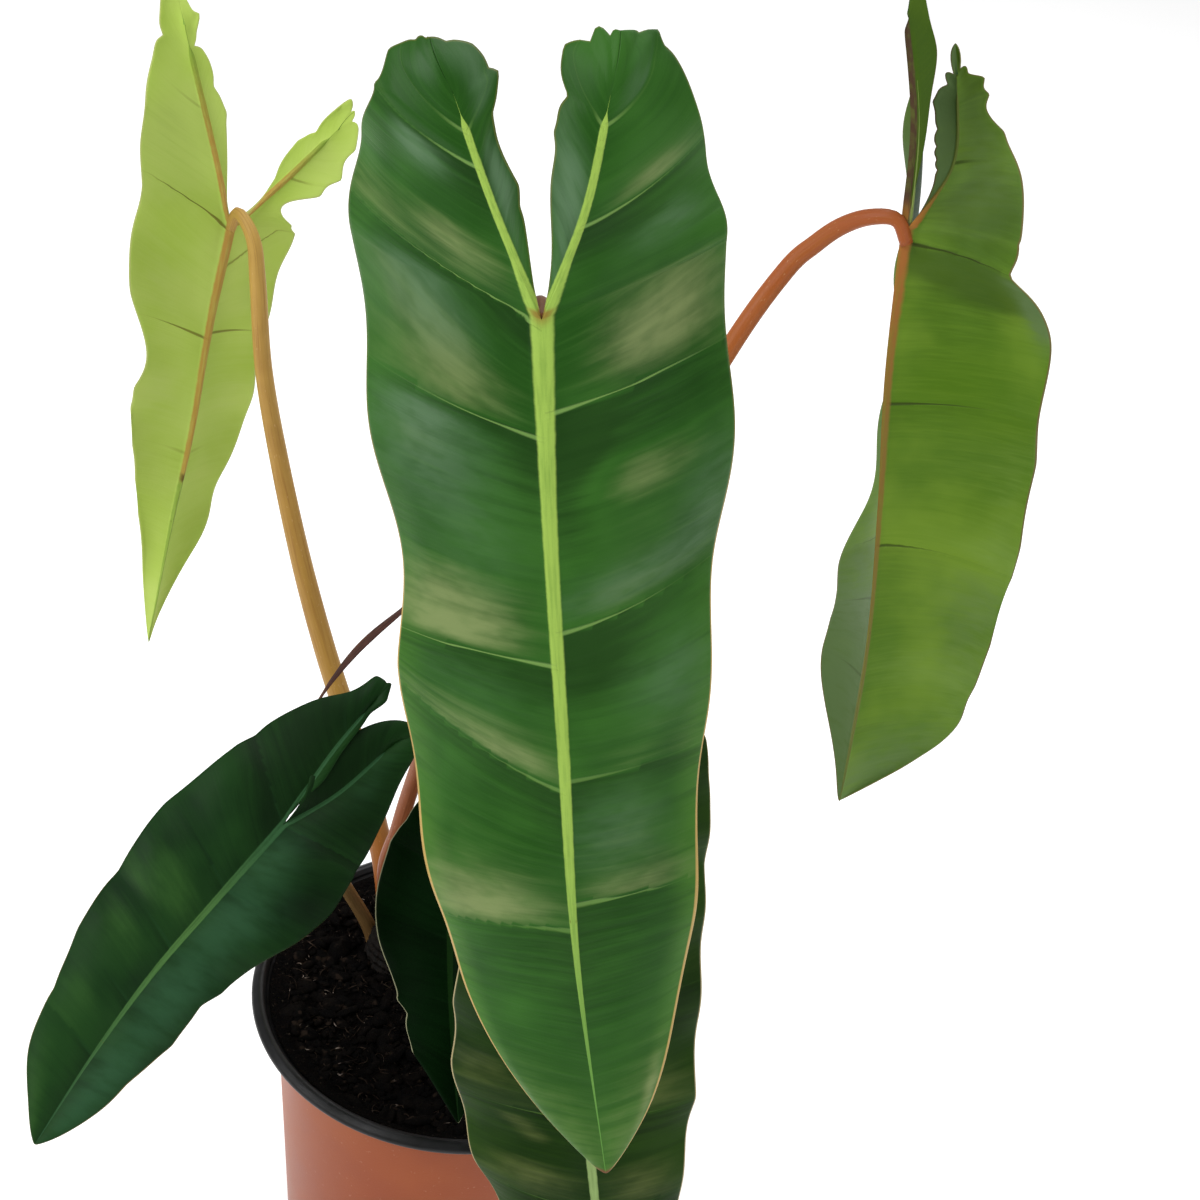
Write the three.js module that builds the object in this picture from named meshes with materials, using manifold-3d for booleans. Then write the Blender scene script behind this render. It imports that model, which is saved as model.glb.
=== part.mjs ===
// A potted philodendron billietiae: six long arrow-shaped leaves on stalks from one short stem, in a nursery pot.
// Millimetres, +Z up. The origin is the centre of the pot's underside, and the front of the plant faces -Y.
import * as THREE from 'three';
import { LoftGeometry } from 'three/addons/geometries/LoftGeometry.js';
import { ParametricGeometry } from 'three/addons/geometries/ParametricGeometry.js';
import { mergeGeometries, mergeVertices } from 'three/addons/utils/BufferGeometryUtils.js';
import Module from 'manifold-3d';

const wasm = await Module();
wasm.setup();

// Driving dimensions

const gap = 0.3; // room between two pieces that touch on the plant
const potHeight = 150;
const rimRadius = 85;
const rimInnerRadius = 79.4;
const rimThickness = 4.5;
const collarRadius = 75.8;
const collarHeight = 7.5; // the straight band right under the rim
const bodyTopRadius = 74.4;
const bodyBaseRadius = 66;
const potWall = 1.4;
const potFloor = 2.2;
const potSides = 48;
const drainHoles = 8;
const drainHoleRadius = 4;
const drainRingRadius = 46;
const soilHeight = 140;
const soilLumps = 1.2; // how far the soil's surface rises and falls
const crownPlace = [-25, 26];
const crownBottom = 118;
const crownTop = 160;
const crownRadius = 20;
const bladeThickness = 0.9;
const ribDepth = 1.8; // how far the midrib stands out below the blade at the leaf's base
const ribSpread = 5; // how far from its middle the midrib has sunk back into the blade
const archShare = 0.09; // rise of each half between rib and margin, as a share of its width
const waveShare = 0.05; // height of the waves at the margin, as a share of the half width
const bladeRows = 18;
const lobeRows = 8;
const bladeColumns = 4;
const stalkSides = 8;
const stalkBottom = 128;

// How the rows of a blade are spread: they crowd towards the tip and towards each lobe's end.
const tipCrowding = 1.5;
const lobeCrowding = 1.7;
const columnCrowding = 1.5;

// The six leaves. Each one has the points of its midrib from the tip up to the sinus, where the stalk joins, then
// two halves. A half has the points of its lobe's vein beyond the sinus, the directions in which the blade reaches
// out from the rib (evenly spread from tip to sinus, then from sinus to lobe end), and the half widths, also evenly
// spread: "wide" from tip to sinus, "lobe" from sinus to lobe end, "inner" on the sinus side of the lobe.
// "top" is 1 where the glossy top side faces the front and -1 where the underside does.

const leaves = {
  front_leaf: {
    color: '#2a6124',
    top: 1,
    waves: [4, 0.1],
    rib: [[62, -163, 241], [43, -146, 315], [30, -127, 381], [18, -106, 440], [8, -82, 492]],
    left: {
      vein: [[-8, -76, 519], [-23, -67, 547]],
      reach: [[-0.9, 0.2, 0.4], [-1, 0.3, 0], [-0.9, 0.4, 0.1]],
      lobeReach: [[-0.9, 0.5, 0.1], [-0.9, 0.4, 0.2], [-0.5, 0.5, 0.7]],
      innerReach: [[0.3, 0.5, 0.8], [0.9, 0.4, 0.3], [0.8, 0.5, 0.4]],
      wide: [0, 27, 44, 47, 49.5, 52, 50, 58.5, 63.5],
      lobe: [56.5, 45.5, 32.5, 25, 17],
      inner: [5, 8, 8, 15],
    },
    right: {
      vein: [[16, -74, 521], [19, -63, 553]],
      reach: [[0.7, 0.4, 0.6], [0.9, 0.4, 0.1], [0.8, 0.5, 0.3]],
      lobeReach: [[0.8, 0.6, 0.2], [0.8, 0.5, 0.4], [0, 0.5, 0.8]],
      innerReach: [[-0.4, 0.5, 0.8], [-1, 0.2, 0.1], [-0.9, 0.3, 0.2]],
      wide: [0, 19, 31, 39, 41, 45, 50, 58.5, 59.5],
      lobe: [50, 39, 29.5, 24, 16.5],
      inner: [6, 11, 13, 19],
    },
    stalk: {
      color: '#9a5a30',
      radius: [3.4, 2.9],
      path: [[-27, 22], [-38, 30, 174], [-34, 31, 203], [-29, 29, 232], [-14, 14, 313], [-2, -13, 396],
        [4, -45, 461], [6, -63, 487], [8, -82, 492]],
    },
  },
  left_leaf: {
    color: '#a3bf5a',
    top: -1,
    waves: [5, 0.3],
    rib: [[-160, 111, 220], [-152, 115, 273], [-143, 119, 324], [-136, 120, 372], [-128, 123, 417]],
    left: {
      vein: [[-137, 123, 454], [-147, 126, 492]],
      reach: [[-0.6, 0.4, 0.6], [-0.8, -0.5, 0.4], [-0.7, -0.5, 0.5]],
      lobeReach: [[-0.7, -0.6, 0.4], [-0.8, -0.3, 0.4], [-0.3, 0.5, 0.8]],
      innerReach: [[0.2, 0.5, 0.8], [0.8, 0.5, 0.3], [0.8, 0.5, 0.4]],
      wide: [0, 5, 9.5, 13.5, 20, 24.5, 23.5, 37.5, 42],
      lobe: [34, 26, 16.5, 13, 14],
      inner: [5, 7.5, 6.5, 4],
    },
    right: {
      vein: [[-111, 139, 431], [-93, 154, 450]],
      reach: [[0.5, 0.5, 0.7], [0.7, 0.7, 0], [0.9, 0.5, -0.2]],
      lobeReach: [[0.8, -0.1, -0.6], [0.9, 0, -0.4], [0.6, 0.4, 0.7]],
      innerReach: [[0.3, 0.5, 0.8], [-0.6, 0.5, 0.7], [-0.1, 0.5, 0.8]],
      wide: [0, 3.5, 15, 22, 21, 26.5, 25, 24.5, 25.5],
      lobe: [7.5, 10.5, 10, 9.5, 9.5],
      inner: [1.5, 8, 8.5, 12.5],
    },
    stalk: {
      color: '#b08a45',
      radius: [4.6, 3.2],
      path: [[-33, 31], [-41, 45, 171], [-61, 64, 222], [-76, 76, 256], [-88, 86, 289], [-99, 97, 326],
        [-108, 103, 365], [-114, 109, 399], [-120, 114, 414], [-130, 124, 418]],
    },
  },
  right_leaf: {
    color: '#5a8a25',
    top: -1,
    waves: [4, 0.6],
    rib: [[148, 74, 215], [146, 82, 285], [139, 85, 350], [131, 88, 410], [126, 94, 464]],
    left: {
      vein: [[120, 92, 506], [109, 95, 542]],
      reach: [[-0.7, 0.4, 0.6], [-0.3, 0.8, -0.4], [0.1, 0.9, -0.4], [0.3, 0.9, -0.3]],
      lobeReach: [[0.2, 1, -0.2], [-0.1, 1, 0.1], [-0.2, 0.5, 0.8]],
      innerReach: [[0.2, 0.5, 0.8], [0.9, 0.4, 0.1], [0.9, 0.4, 0.3]],
      wide: [0, 6, 17, 27, 32, 36, 40, 44, 45],
      lobe: [42, 38, 33, 26, 18],
      inner: [4, 6, 10, 12],
    },
    right: {
      vein: [[140, 106, 487], [136, 118, 516]],
      reach: [[0.9, 0.3, 0.4], [0.9, -0.2, 0.4], [0.9, -0.5, 0.2]],
      lobeReach: [[0.9, -0.2, 0.5], [0.9, 0.1, 0.5], [-0.2, 0.5, 0.8]],
      innerReach: [[0.2, 0.5, 0.8], [-1, 0.1, -0.1], [-1, 0.3, 0.2]],
      wide: [0, 45.5, 50.5, 54, 56.5, 57.5, 59, 59.5, 43.5],
      lobe: [30.5, 17.5, 9.5, 8, 11.5],
      inner: [3, 8, 8.5, 9],
    },
    stalk: {
      color: '#b4622c',
      radius: [4.6, 3.7],
      path: [[-17, 32], [-11, 35, 197], [17, 47, 266], [45, 77, 347], [71, 98, 407], [87, 105, 438],
        [96, 105, 450], [104, 103, 459], [113, 98, 465], [125, 93, 466]],
    },
  },
  low_left_leaf: {
    color: '#17331c',
    top: 1,
    waves: [4, 0.4],
    rib: [[-127, -148, 198], [-115, -122, 215], [-101, -97, 232], [-86, -72, 245], [-68, -43, 260]],
    left: {
      vein: [[-56, -18, 275], [-44, 2, 287]],
      reach: [[-0.7, 0.4, 0.6], [-0.7, 0.5, 0.5], [-0.6, 0.5, 0.6]],
      lobeReach: [[-0.7, 0.5, 0.5], [-0.2, 0.6, 0.7], [0.6, 0.4, 0.7]],
      innerReach: [[0.4, 0.5, 0.8], [0.9, -0.1, -0.4], [1, -0.1, -0.1]],
      wide: [0, 9.5, 20.5, 25, 29, 33, 35, 36.5, 33.5],
      lobe: [27, 19.5, 12.5, 11, 10],
      inner: [1, 2, 3, 2.5],
    },
    right: {
      vein: [[-51, -24, 263], [-34, -3, 274]],
      reach: [[1, 0, 0], [0.9, -0.1, -0.4], [0.8, -0.1, -0.5]],
      lobeReach: [[0.7, -0.2, -0.6], [0.9, -0.1, -0.4], [0.9, 0.2, 0.3]],
      innerReach: [[0.4, 0.3, 0.9], [-0.6, 0.3, 0.7], [-0.2, 0.5, 0.8]],
      wide: [0, 7.5, 13.5, 17, 20, 21.5, 25.5, 31.5, 31.5],
      lobe: [26, 19, 13, 10.5, 10],
      inner: [7, 10.5, 12, 11],
    },
    stalk: {
      color: '#8a6a45',
      radius: [3, 2.6],
      path: [[-36, 21], [-42, 28, 145], [-52, 24, 170], [-60, 5, 205], [-65, -22, 237], [-68, -43, 260]],
    },
  },
  small_inner_leaf: {
    color: '#14331a',
    top: 1,
    waves: [3, 0.2],
    rib: [[10, -87, 167], [5, -72, 183], [0, -54, 199], [-4, -35, 213], [-8, -15, 226]],
    left: {
      vein: [[-16, -4, 231], [-20, 3, 235]],
      reach: [[-0.7, 0.4, 0.6], [-1, 0.2, 0], [-1, 0.3, 0.1]],
      lobeReach: [[-1, 0.3, 0.1], [-0.9, 0.4, 0.3], [-0.1, 0.5, 0.8]],
      innerReach: [[0.3, 0.5, 0.8], [0.8, 0.4, 0.4], [0.5, 0.6, 0.7]],
      wide: [0, 14, 21, 21, 20, 23.5, 29, 30.5, 25.5],
      lobe: [18, 12, 9, 7.5, 8.5],
      inner: [3, 5, 6.5, 7.5],
    },
    right: {
      vein: [[-4, -1, 232], [-2, 6, 236]],
      reach: [[0.5, 0.5, 0.7], [0.9, 0.4, 0.2], [0.8, 0.5, 0.2]],
      lobeReach: [[0.8, 0.5, 0.2], [0.7, 0.5, 0.5], [0.1, 0.5, 0.8]],
      innerReach: [[-0.6, 0.5, 0.7], [-0.9, 0.3, 0.2], [-0.7, 0.5, 0.5]],
      wide: [0, 8, 15, 20, 24, 27, 29, 29, 27],
      lobe: [25, 21, 17, 12, 9],
      inner: [3, 5, 6.5, 7.5],
    },
    stalk: {
      color: '#8a6a45',
      radius: [2.4, 2],
      path: [[-25, 16], [-20, 10, 170], [-14, -2, 205], [-9, -11, 221], [-8, -15, 226]],
    },
  },
  low_front_leaf: {
    color: '#1d4a20',
    top: 1,
    waves: [5, 0.7],
    rib: [[74, -153, 132], [65, -138, 178], [55, -121, 219], [47, -101, 256], [39, -78, 288]],
    left: {
      vein: [[24, -61, 301], [13, -45, 311]],
      reach: [[-0.8, 0.3, 0.5], [-1, 0.2, 0], [-1, 0.3, 0.1]],
      lobeReach: [[-1, 0.3, 0.1], [-0.9, 0.4, 0.3], [-0.4, 0.5, 0.8]],
      innerReach: [[0.3, 0.5, 0.8], [0.8, 0.4, 0.4], [0.5, 0.6, 0.7]],
      wide: [0, 22, 36, 43, 46.5, 46, 43, 42, 41],
      lobe: [38, 34, 28, 21, 15],
      inner: [4, 8, 11, 13],
    },
    right: {
      vein: [[53, -63, 306], [69, -51, 319]],
      reach: [[0.6, 0.4, 0.6], [0.9, 0.3, 0.2], [1, 0.3, 0]],
      lobeReach: [[1, 0.2, 0], [0.9, 0.3, 0.3], [0.5, 0.5, 0.7]],
      innerReach: [[-0.4, 0.5, 0.8], [-0.6, 0.6, 0.6], [-0.1, 0.7, 0.7]],
      wide: [0, 16.5, 27, 31, 33.5, 36.5, 40.5, 43.5, 47],
      lobe: [36.5, 27.5, 19, 15, 14],
      inner: [4, 8, 11, 13],
    },
    stalk: {
      color: '#8a6a45',
      radius: [3.4, 2.8],
      path: [[-15, 22], [0, 14, 172], [26, -8, 215], [37, -38, 255], [40, -64, 283], [39, -78, 288]],
    },
  },
};

// The dry sheath is a flat strip: its route, and its half width and half thickness.
const sheathPath = [[-25, 38], [-25, 53, 173], [-23, 71, 241], [-23, 75, 284], [-29, 68, 304], [-42, 48, 298],
  [-55, 35, 288], [-63, 26, 278], [-68, 20, 270]];
const sheathSize = [2.6, 0.9];

// Curves and solids

const through = (points) =>
  new THREE.CatmullRomCurve3(points.map((p) => new THREE.Vector3(...p)), false, 'catmullrom', 0.5);
const valuesThrough = (values) => through(values.map((value) => [value, 0, 0]));

// The geometry's plain positions and faces.
function bare(geometry) {
  const plain = new THREE.BufferGeometry().copy(geometry);
  plain.deleteAttribute('normal');
  plain.deleteAttribute('uv');
  return plain;
}

// Equal points become one, and faces that have shrunk to a line are dropped.
function welded(geometry, tolerance) {
  const merged = mergeVertices(geometry, tolerance);
  const faces = [];
  for (let i = 0; i < merged.index.count; i += 3) {
    const face = [0, 1, 2].map((corner) => merged.index.getX(i + corner));
    if (new Set(face).size === 3) faces.push(...face);
  }
  return merged.setIndex(faces);
}

function toManifold(geometry) {
  const merged = welded(geometry, 1e-4);
  const solid = new wasm.Mesh({
    numProp: 3,
    vertProperties: merged.attributes.position.array,
    triVerts: new Uint32Array(merged.index.array),
  });
  return new wasm.Manifold(solid);
}

function toGeometry(manifold) {
  const solid = manifold.getMesh();
  const geometry = new THREE.BufferGeometry();
  geometry.setAttribute('position', new THREE.BufferAttribute(solid.vertProperties, 3));
  geometry.setIndex(new THREE.BufferAttribute(solid.triVerts, 1));
  return geometry;
}

// The solid with room all around it: copies of it moved a little each way.
function withRoom(solid, room) {
  const shifts = [[room, 0, 0], [0, room, 0], [0, 0, room]];
  const moved = shifts.flatMap(([x, y, z]) => [solid.translate([x, y, z]), solid.translate([-x, -y, -z])]);
  return wasm.Manifold.union(moved);
}

// Blades

// One half of a blade: the point on its sheet at row "k" and share "x" of the way from the vein to the margin.
// The hub runs up the midrib and on along the lobe's vein. The point lies at hub + width * x * reach, and is lifted
// off that line by an arch and by waves that grow towards the margin.
function halfSheet(leaf, side, inner) {
  const half = leaf[side];
  const sinus = leaf.rib.at(-1);
  const rib = through(leaf.rib);
  const vein = through([sinus, ...half.vein]);
  const lobeEnd = half.lobeReach.at(-1);
  const reach = through(half.reach);
  const lobeReach = inner
    ? through([...half.innerReach, lobeEnd])
    : through([half.reach.at(-1), ...half.lobeReach]);
  const wide = valuesThrough(half.wide);
  const lobe = inner
    ? valuesThrough([0, ...half.inner, half.lobe.at(-1)])
    : valuesThrough([half.wide.at(-1), ...half.lobe]);
  const ribLine = rib.getPoint(0).sub(rib.getPoint(1));
  const face = new THREE.Vector3().crossVectors(reach.getPoint(0.5), ribLine).normalize();
  if (side === 'right') face.negate();
  const [count, start] = leaf.waves;

  return (k, x) => {
    const onLobe = inner || k > bladeRows;
    const share = inner ? k / lobeRows : onLobe ? (k - bladeRows) / lobeRows : k / bladeRows;
    const along = onLobe ? 1 - (1 - share) ** lobeCrowding : share ** tipCrowding;
    const hub = (onLobe ? vein : rib).getPoint(along);
    const direction = onLobe ? lobeReach.getPoint(share) : reach.getPoint(along);
    const width = Math.max((onLobe ? lobe : wide).getPoint(share).x, 0);
    const wave = Math.sin(2 * Math.PI * (count * (onLobe ? 1 + share / 2 : along) + start));
    const lift = width * (archShare * 4 * x * (1 - x) * leaf.top + waveShare * x * x * wave);
    const point = hub.clone().addScaledVector(direction.normalize(), width * x).addScaledVector(face, lift);
    const ribShare = onLobe ? (1 - share) * 0.6 + 0.1 : along * 0.7;
    return { point, ridge: ribDepth * ribShare * Math.exp(-((width * x / ribSpread) ** 2)) };
  };
}

// The sheet of one strip as a grid, with the depth of the rib at each point. A flipped strip is wound the other way,
// so that all four strips of a blade show the same side.
function stripGeometry(sheet, rows, flip) {
  const ridges = [];
  const geometry = new ParametricGeometry((u, v, target) => {
    const x = (flip ? 1 - u : u) ** columnCrowding;
    target.copy(sheet(v * rows, x).point);
  }, bladeColumns, rows);
  for (let row = 0; row <= rows; row += 1) {
    for (let column = 0; column <= bladeColumns; column += 1) {
      const u = column / bladeColumns;
      ridges.push(sheet(row, (flip ? 1 - u : u) ** columnCrowding).ridge);
    }
  }
  return bare(geometry).setAttribute('ridge', new THREE.Float32BufferAttribute(ridges, 1));
}

// A blade as one closed solid: its welded sheet, moved out along the normals to both sides and walled at the margin.
function bladeGeometry(leaf) {
  const strips = ['left', 'right'].flatMap((side) => {
    const flip = side === 'right';
    return [
      stripGeometry(halfSheet(leaf, side, false), bladeRows + lobeRows, flip),
      stripGeometry(halfSheet(leaf, side, true), lobeRows, !flip),
    ];
  });
  const sheet = welded(mergeGeometries(strips), 1e-3);
  sheet.computeVertexNormals();
  const corners = [...sheet.index.array];
  const faces = corners.filter((_, i) => i % 3 === 0).map((_, i) => corners.slice(3 * i, 3 * i + 3));

  const count = sheet.attributes.position.count;
  const positions = [];
  for (const side of [1, -1]) {
    for (let i = 0; i < count; i += 1) {
      const normal = new THREE.Vector3().fromBufferAttribute(sheet.attributes.normal, i);
      const under = side !== leaf.top;
      const offset = bladeThickness / 2 + (under ? sheet.attributes.ridge.getX(i) : 0);
      const point = new THREE.Vector3().fromBufferAttribute(sheet.attributes.position, i);
      positions.push(...point.addScaledVector(normal, side * offset).toArray());
    }
  }
  const edges = new Set(faces.flatMap(([a, b, c]) => [`${a} ${b}`, `${b} ${c}`, `${c} ${a}`]));
  const walls = [...edges].map((edge) => edge.split(' ').map(Number)).filter(([a, b]) => !edges.has(`${b} ${a}`));
  const index = [
    ...faces.flat(),
    ...faces.flatMap(([a, b, c]) => [a + count, c + count, b + count]),
    ...walls.flatMap(([a, b]) => [b, a, a + count, b, a + count, b + count]),
  ];
  const geometry = new THREE.BufferGeometry();
  geometry.setAttribute('position', new THREE.Float32BufferAttribute(positions, 3));
  geometry.setIndex(index);
  return geometry;
}

// Stalks and sheath

// A tapering tube along a route. Its sections are ellipses, "flat" times as thick as they are wide.
function tubeGeometry(path, radii, flat = 1, grow = 0) {
  const route = path.map(([x, y, z]) => [x, y, z ?? stalkBottom - grow]);
  const curve = through(route);
  const steps = route.length * 2;
  const frames = curve.computeFrenetFrames(steps);
  const sections = [];
  for (let i = 0; i <= steps; i += 1) {
    const middle = curve.getPointAt(i / steps);
    const radius = THREE.MathUtils.lerp(radii[0], radii[1], (i / steps) ** 0.7) + grow;
    const ring = [];
    for (let j = 0; j < stalkSides; j += 1) {
      const angle = 2 * Math.PI * j / stalkSides;
      ring.push(middle.clone()
        .addScaledVector(frames.normals[i], radius * Math.cos(angle))
        .addScaledVector(frames.binormals[i], (radius * flat + grow * (1 - flat)) * Math.sin(angle)));
    }
    sections.push(ring);
  }
  return bare(new LoftGeometry(sections, { capStart: true, capEnd: true }));
}

const stalkTube = (leaf, grow) => toManifold(tubeGeometry(leaf.stalk.path, leaf.stalk.radius, 1, grow));

// The stalk ends under the blade, cut back to leave the gap. Only its long part is kept.
function stalkGeometry(leaf) {
  const blade = withRoom(toManifold(bladeGeometry(leaf)), 1.3 * gap);
  const pieces = stalkTube(leaf, 0).subtract(blade).decompose();
  pieces.sort((a, b) => b.volume() - a.volume());
  return toGeometry(pieces[0]);
}

const sheathTube = (grow) => toManifold(
  tubeGeometry(sheathPath, [sheathSize[0], sheathSize[0] * 0.8], sheathSize[1] / sheathSize[0], grow));

// Crown

function crownProfile(grow) {
  const height = crownTop - crownBottom;
  const ring = (share, radius) => new THREE.Vector2(radius + grow, crownBottom + share * height);
  return [
    new THREE.Vector2(0, crownBottom - grow),
    new THREE.Vector2(crownRadius * 0.85 + grow, crownBottom - grow),
    ring(0.15, crownRadius),
    ring(0.45, crownRadius),
    ring(0.5, crownRadius * 0.95),
    ring(0.6, crownRadius * 0.97),
    ring(0.66, crownRadius * 0.88),
    ring(0.8, crownRadius * 0.86),
    ring(0.92, crownRadius * 0.66),
    ring(0.98, crownRadius * 0.36),
    new THREE.Vector2(0, crownTop + grow),
  ];
}

function crownBody(grow = 0) {
  const turned = bare(new THREE.LatheGeometry(crownProfile(grow), 20)).rotateX(Math.PI / 2);
  return toManifold(turned.translate(...crownPlace, 0));
}

// Each stalk, and the sheath, stands in a socket of its own in the crown.
function crownGeometry() {
  let crown = crownBody();
  for (const leaf of Object.values(leaves)) crown = crown.subtract(stalkTube(leaf, gap));
  return toGeometry(crown.subtract(sheathTube(gap)));
}

// Pot and soil

// The pot's inside radius at a height below the funnel of the rim.
const insideRadius = (z) => THREE.MathUtils.lerp(
  bodyBaseRadius, bodyTopRadius, z / (potHeight - rimThickness - collarHeight)) - potWall;

function potGeometry() {
  const under = potHeight - rimThickness;
  const profile = [
    [0, 0],
    [bodyBaseRadius - 1.5, 0],
    [bodyBaseRadius, 1.5],
    [bodyTopRadius, under - collarHeight],
    [collarRadius - 0.4, under - collarHeight + 1.5],
    [collarRadius, under],
    [rimRadius - 1, under],
    [rimRadius, under + 1],
    [rimRadius, potHeight - 1.2],
    [rimRadius - 0.8, potHeight - 0.2],
    [rimRadius - 2.8, potHeight],
    [rimInnerRadius + 0.8, potHeight - 0.4],
    [rimInnerRadius, potHeight - 1.4],
    [bodyTopRadius, under - 0.6],
    [insideRadius(soilHeight), soilHeight - 1],
    [insideRadius(potFloor), potFloor],
    [0, potFloor],
  ].map(([r, z]) => new THREE.Vector2(r, z));
  const turned = bare(new THREE.LatheGeometry(profile, potSides)).rotateX(Math.PI / 2);
  let pot = toManifold(turned);
  for (let i = 0; i < drainHoles; i += 1) {
    const angle = 2 * Math.PI * i / drainHoles;
    const hole = new THREE.CylinderGeometry(drainHoleRadius, drainHoleRadius, 3 * potFloor, 12);
    hole.rotateX(Math.PI / 2);
    hole.translate(drainRingRadius * Math.cos(angle), drainRingRadius * Math.sin(angle), potFloor / 2);
    pot = pot.subtract(toManifold(bare(hole)));
  }
  return toGeometry(pot);
}

// The soil fills the pot. Its top sinks a little towards the wall and has low lumps.
function soilGeometry() {
  const bottom = potFloor + gap;
  const rings = [0, 0.2, 0.4, 0.6, 0.8, 1];
  const wallRadius = (z) => insideRadius(z) - gap;
  const profile = [
    [0, bottom],
    [wallRadius(bottom), bottom],
    [wallRadius(soilHeight - 4), soilHeight - 4],
    ...rings.map((share) => [wallRadius(soilHeight) * (1 - share) - (share ? 0 : 0.3), soilHeight]),
  ].map(([r, z]) => new THREE.Vector2(Math.max(r, 0), z));
  const soil = bare(new THREE.LatheGeometry(profile, potSides)).rotateX(Math.PI / 2);
  const place = soil.attributes.position;
  for (let i = 0; i < place.count; i += 1) {
    if (place.getZ(i) < soilHeight - 1) continue;
    const [x, y] = [place.getX(i), place.getY(i)];
    const lump = Math.sin(x / 7 + 1) * Math.cos(y / 9) + Math.sin((x + y) / 13);
    const edge = (Math.hypot(x, y) / wallRadius(soilHeight)) ** 4;
    place.setZ(i, soilHeight + soilLumps * (0.4 * lump - edge));
  }
  return toGeometry(toManifold(soil).subtract(crownBody(gap)));
}

// The plant in its pot

const plant = new THREE.Group();

function add(name, geometry, color, roughness) {
  const mesh = new THREE.Mesh(geometry, new THREE.MeshStandardMaterial({ color, roughness, metalness: 0 }));
  mesh.name = name;
  plant.add(mesh);
}

add('pot', potGeometry(), '#b46a4f', 0.45);
add('soil', soilGeometry(), '#1c1512', 0.95);
add('stem_crown', crownGeometry(), '#5b4a2c', 0.7);
for (const [name, leaf] of Object.entries(leaves)) {
  add(`${name}_stalk`, stalkGeometry(leaf), leaf.stalk.color, 0.5);
  add(`${name}_blade`, bladeGeometry(leaf), leaf.color, 0.4);
}
add('dry_sheath', toGeometry(sheathTube(0)), '#4a2a24', 0.7);

export default plant;
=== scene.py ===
# %% [markdown]
# # A potted philodendron billietiae
#
# Six long arrow-shaped leaves on one short stem, in a two-tone nursery pot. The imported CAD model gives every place
# and size. This lesson dresses it: each plant piece is rebuilt as a fine surface with veins, folds and colour.

import math

import bpy
import numpy as np
from mathutils import Matrix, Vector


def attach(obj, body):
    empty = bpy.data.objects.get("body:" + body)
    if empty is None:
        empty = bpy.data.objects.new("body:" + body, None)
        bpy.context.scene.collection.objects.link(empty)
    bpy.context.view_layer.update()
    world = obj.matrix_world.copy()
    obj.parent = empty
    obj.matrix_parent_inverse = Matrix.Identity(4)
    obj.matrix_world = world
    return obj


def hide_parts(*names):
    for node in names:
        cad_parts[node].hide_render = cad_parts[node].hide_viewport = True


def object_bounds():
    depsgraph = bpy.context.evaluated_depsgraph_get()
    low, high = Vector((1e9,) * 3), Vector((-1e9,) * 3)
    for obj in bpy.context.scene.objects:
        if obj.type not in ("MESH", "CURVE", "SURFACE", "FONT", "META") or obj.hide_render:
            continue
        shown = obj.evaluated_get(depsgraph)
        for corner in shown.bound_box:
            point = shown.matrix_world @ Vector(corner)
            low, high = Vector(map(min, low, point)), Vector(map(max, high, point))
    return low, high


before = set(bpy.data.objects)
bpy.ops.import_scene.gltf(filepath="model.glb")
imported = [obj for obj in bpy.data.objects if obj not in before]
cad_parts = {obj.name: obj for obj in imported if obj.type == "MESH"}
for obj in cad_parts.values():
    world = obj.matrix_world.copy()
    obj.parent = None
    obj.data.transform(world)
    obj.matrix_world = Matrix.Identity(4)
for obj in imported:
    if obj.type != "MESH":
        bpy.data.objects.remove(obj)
cad_low, cad_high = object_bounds()
print("CAD box", tuple(cad_low), tuple(cad_high))

MM = 0.001


# %% [markdown]
# ## Helpers for shapes
#
# Every form here is a formula on a grid. A curve through a few points carries ribs, stalks and widths. A sum of plane
# waves stands in for noise: it is smooth, repeatable, and works on whole arrays.

# %% Curves and waves
def through(points, shares):
    """A smooth curve through all the points: a cubic from each point to the next, whose slope at a point is half the
    way from the point before it to the point after it. Shares run from 0 at the first point to 1 at the last."""
    p = np.asarray(points, float)
    if p.ndim == 1:
        p = p[:, None]
    spans = len(p) - 1
    p = np.vstack([2 * p[0] - p[1], p, 2 * p[-1] - p[-2]])
    place = np.clip(np.asarray(shares, float), 0, 1) * spans
    i = np.minimum(place.astype(int), spans - 1)
    f = (place - i)[:, None]
    a, b, c, d = p[i], p[i + 1], p[i + 2], p[i + 3]
    start, end = (c - a) / 2, (d - b) / 2
    return (2 * b - 2 * c + start + end) * f**3 + (3 * c - 3 * b - 2 * start - end) * f**2 + start * f + b


def unit(vectors):
    """Each vector divided by its length."""
    return vectors / np.maximum(np.linalg.norm(vectors, axis=-1, keepdims=True), 1e-12)


def way_along(line):
    """The length of a line of points from its first point to each of them."""
    return np.r_[0, np.cumsum(np.linalg.norm(np.diff(line, axis=0), axis=1))]


def full_turn(sides):
    """Even angles once round, in radians."""
    return np.linspace(0, 2 * np.pi, sides, endpoint=False)


def waves(points, size, seed, count=24):
    """Sum of plane waves in random directions, each about one size long, scaled to a spread of about 1."""
    rng = np.random.default_rng(seed)
    turn = unit(rng.normal(size=(count, 3))) * (2 * np.pi / size) * rng.uniform(0.6, 1.6, (count, 1))
    start = rng.uniform(0, 2 * np.pi, count)
    return np.cos(points @ turn.T + start).sum(-1) * math.sqrt(2 / count)


def smooth_step(low, high, x):
    """0 below low, 1 above high, and an S-shaped rise 3u^2 - 2u^3 between."""
    u = np.clip((x - low) / (high - low), 0, 1)
    return u * u * (3 - 2 * u)


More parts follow.
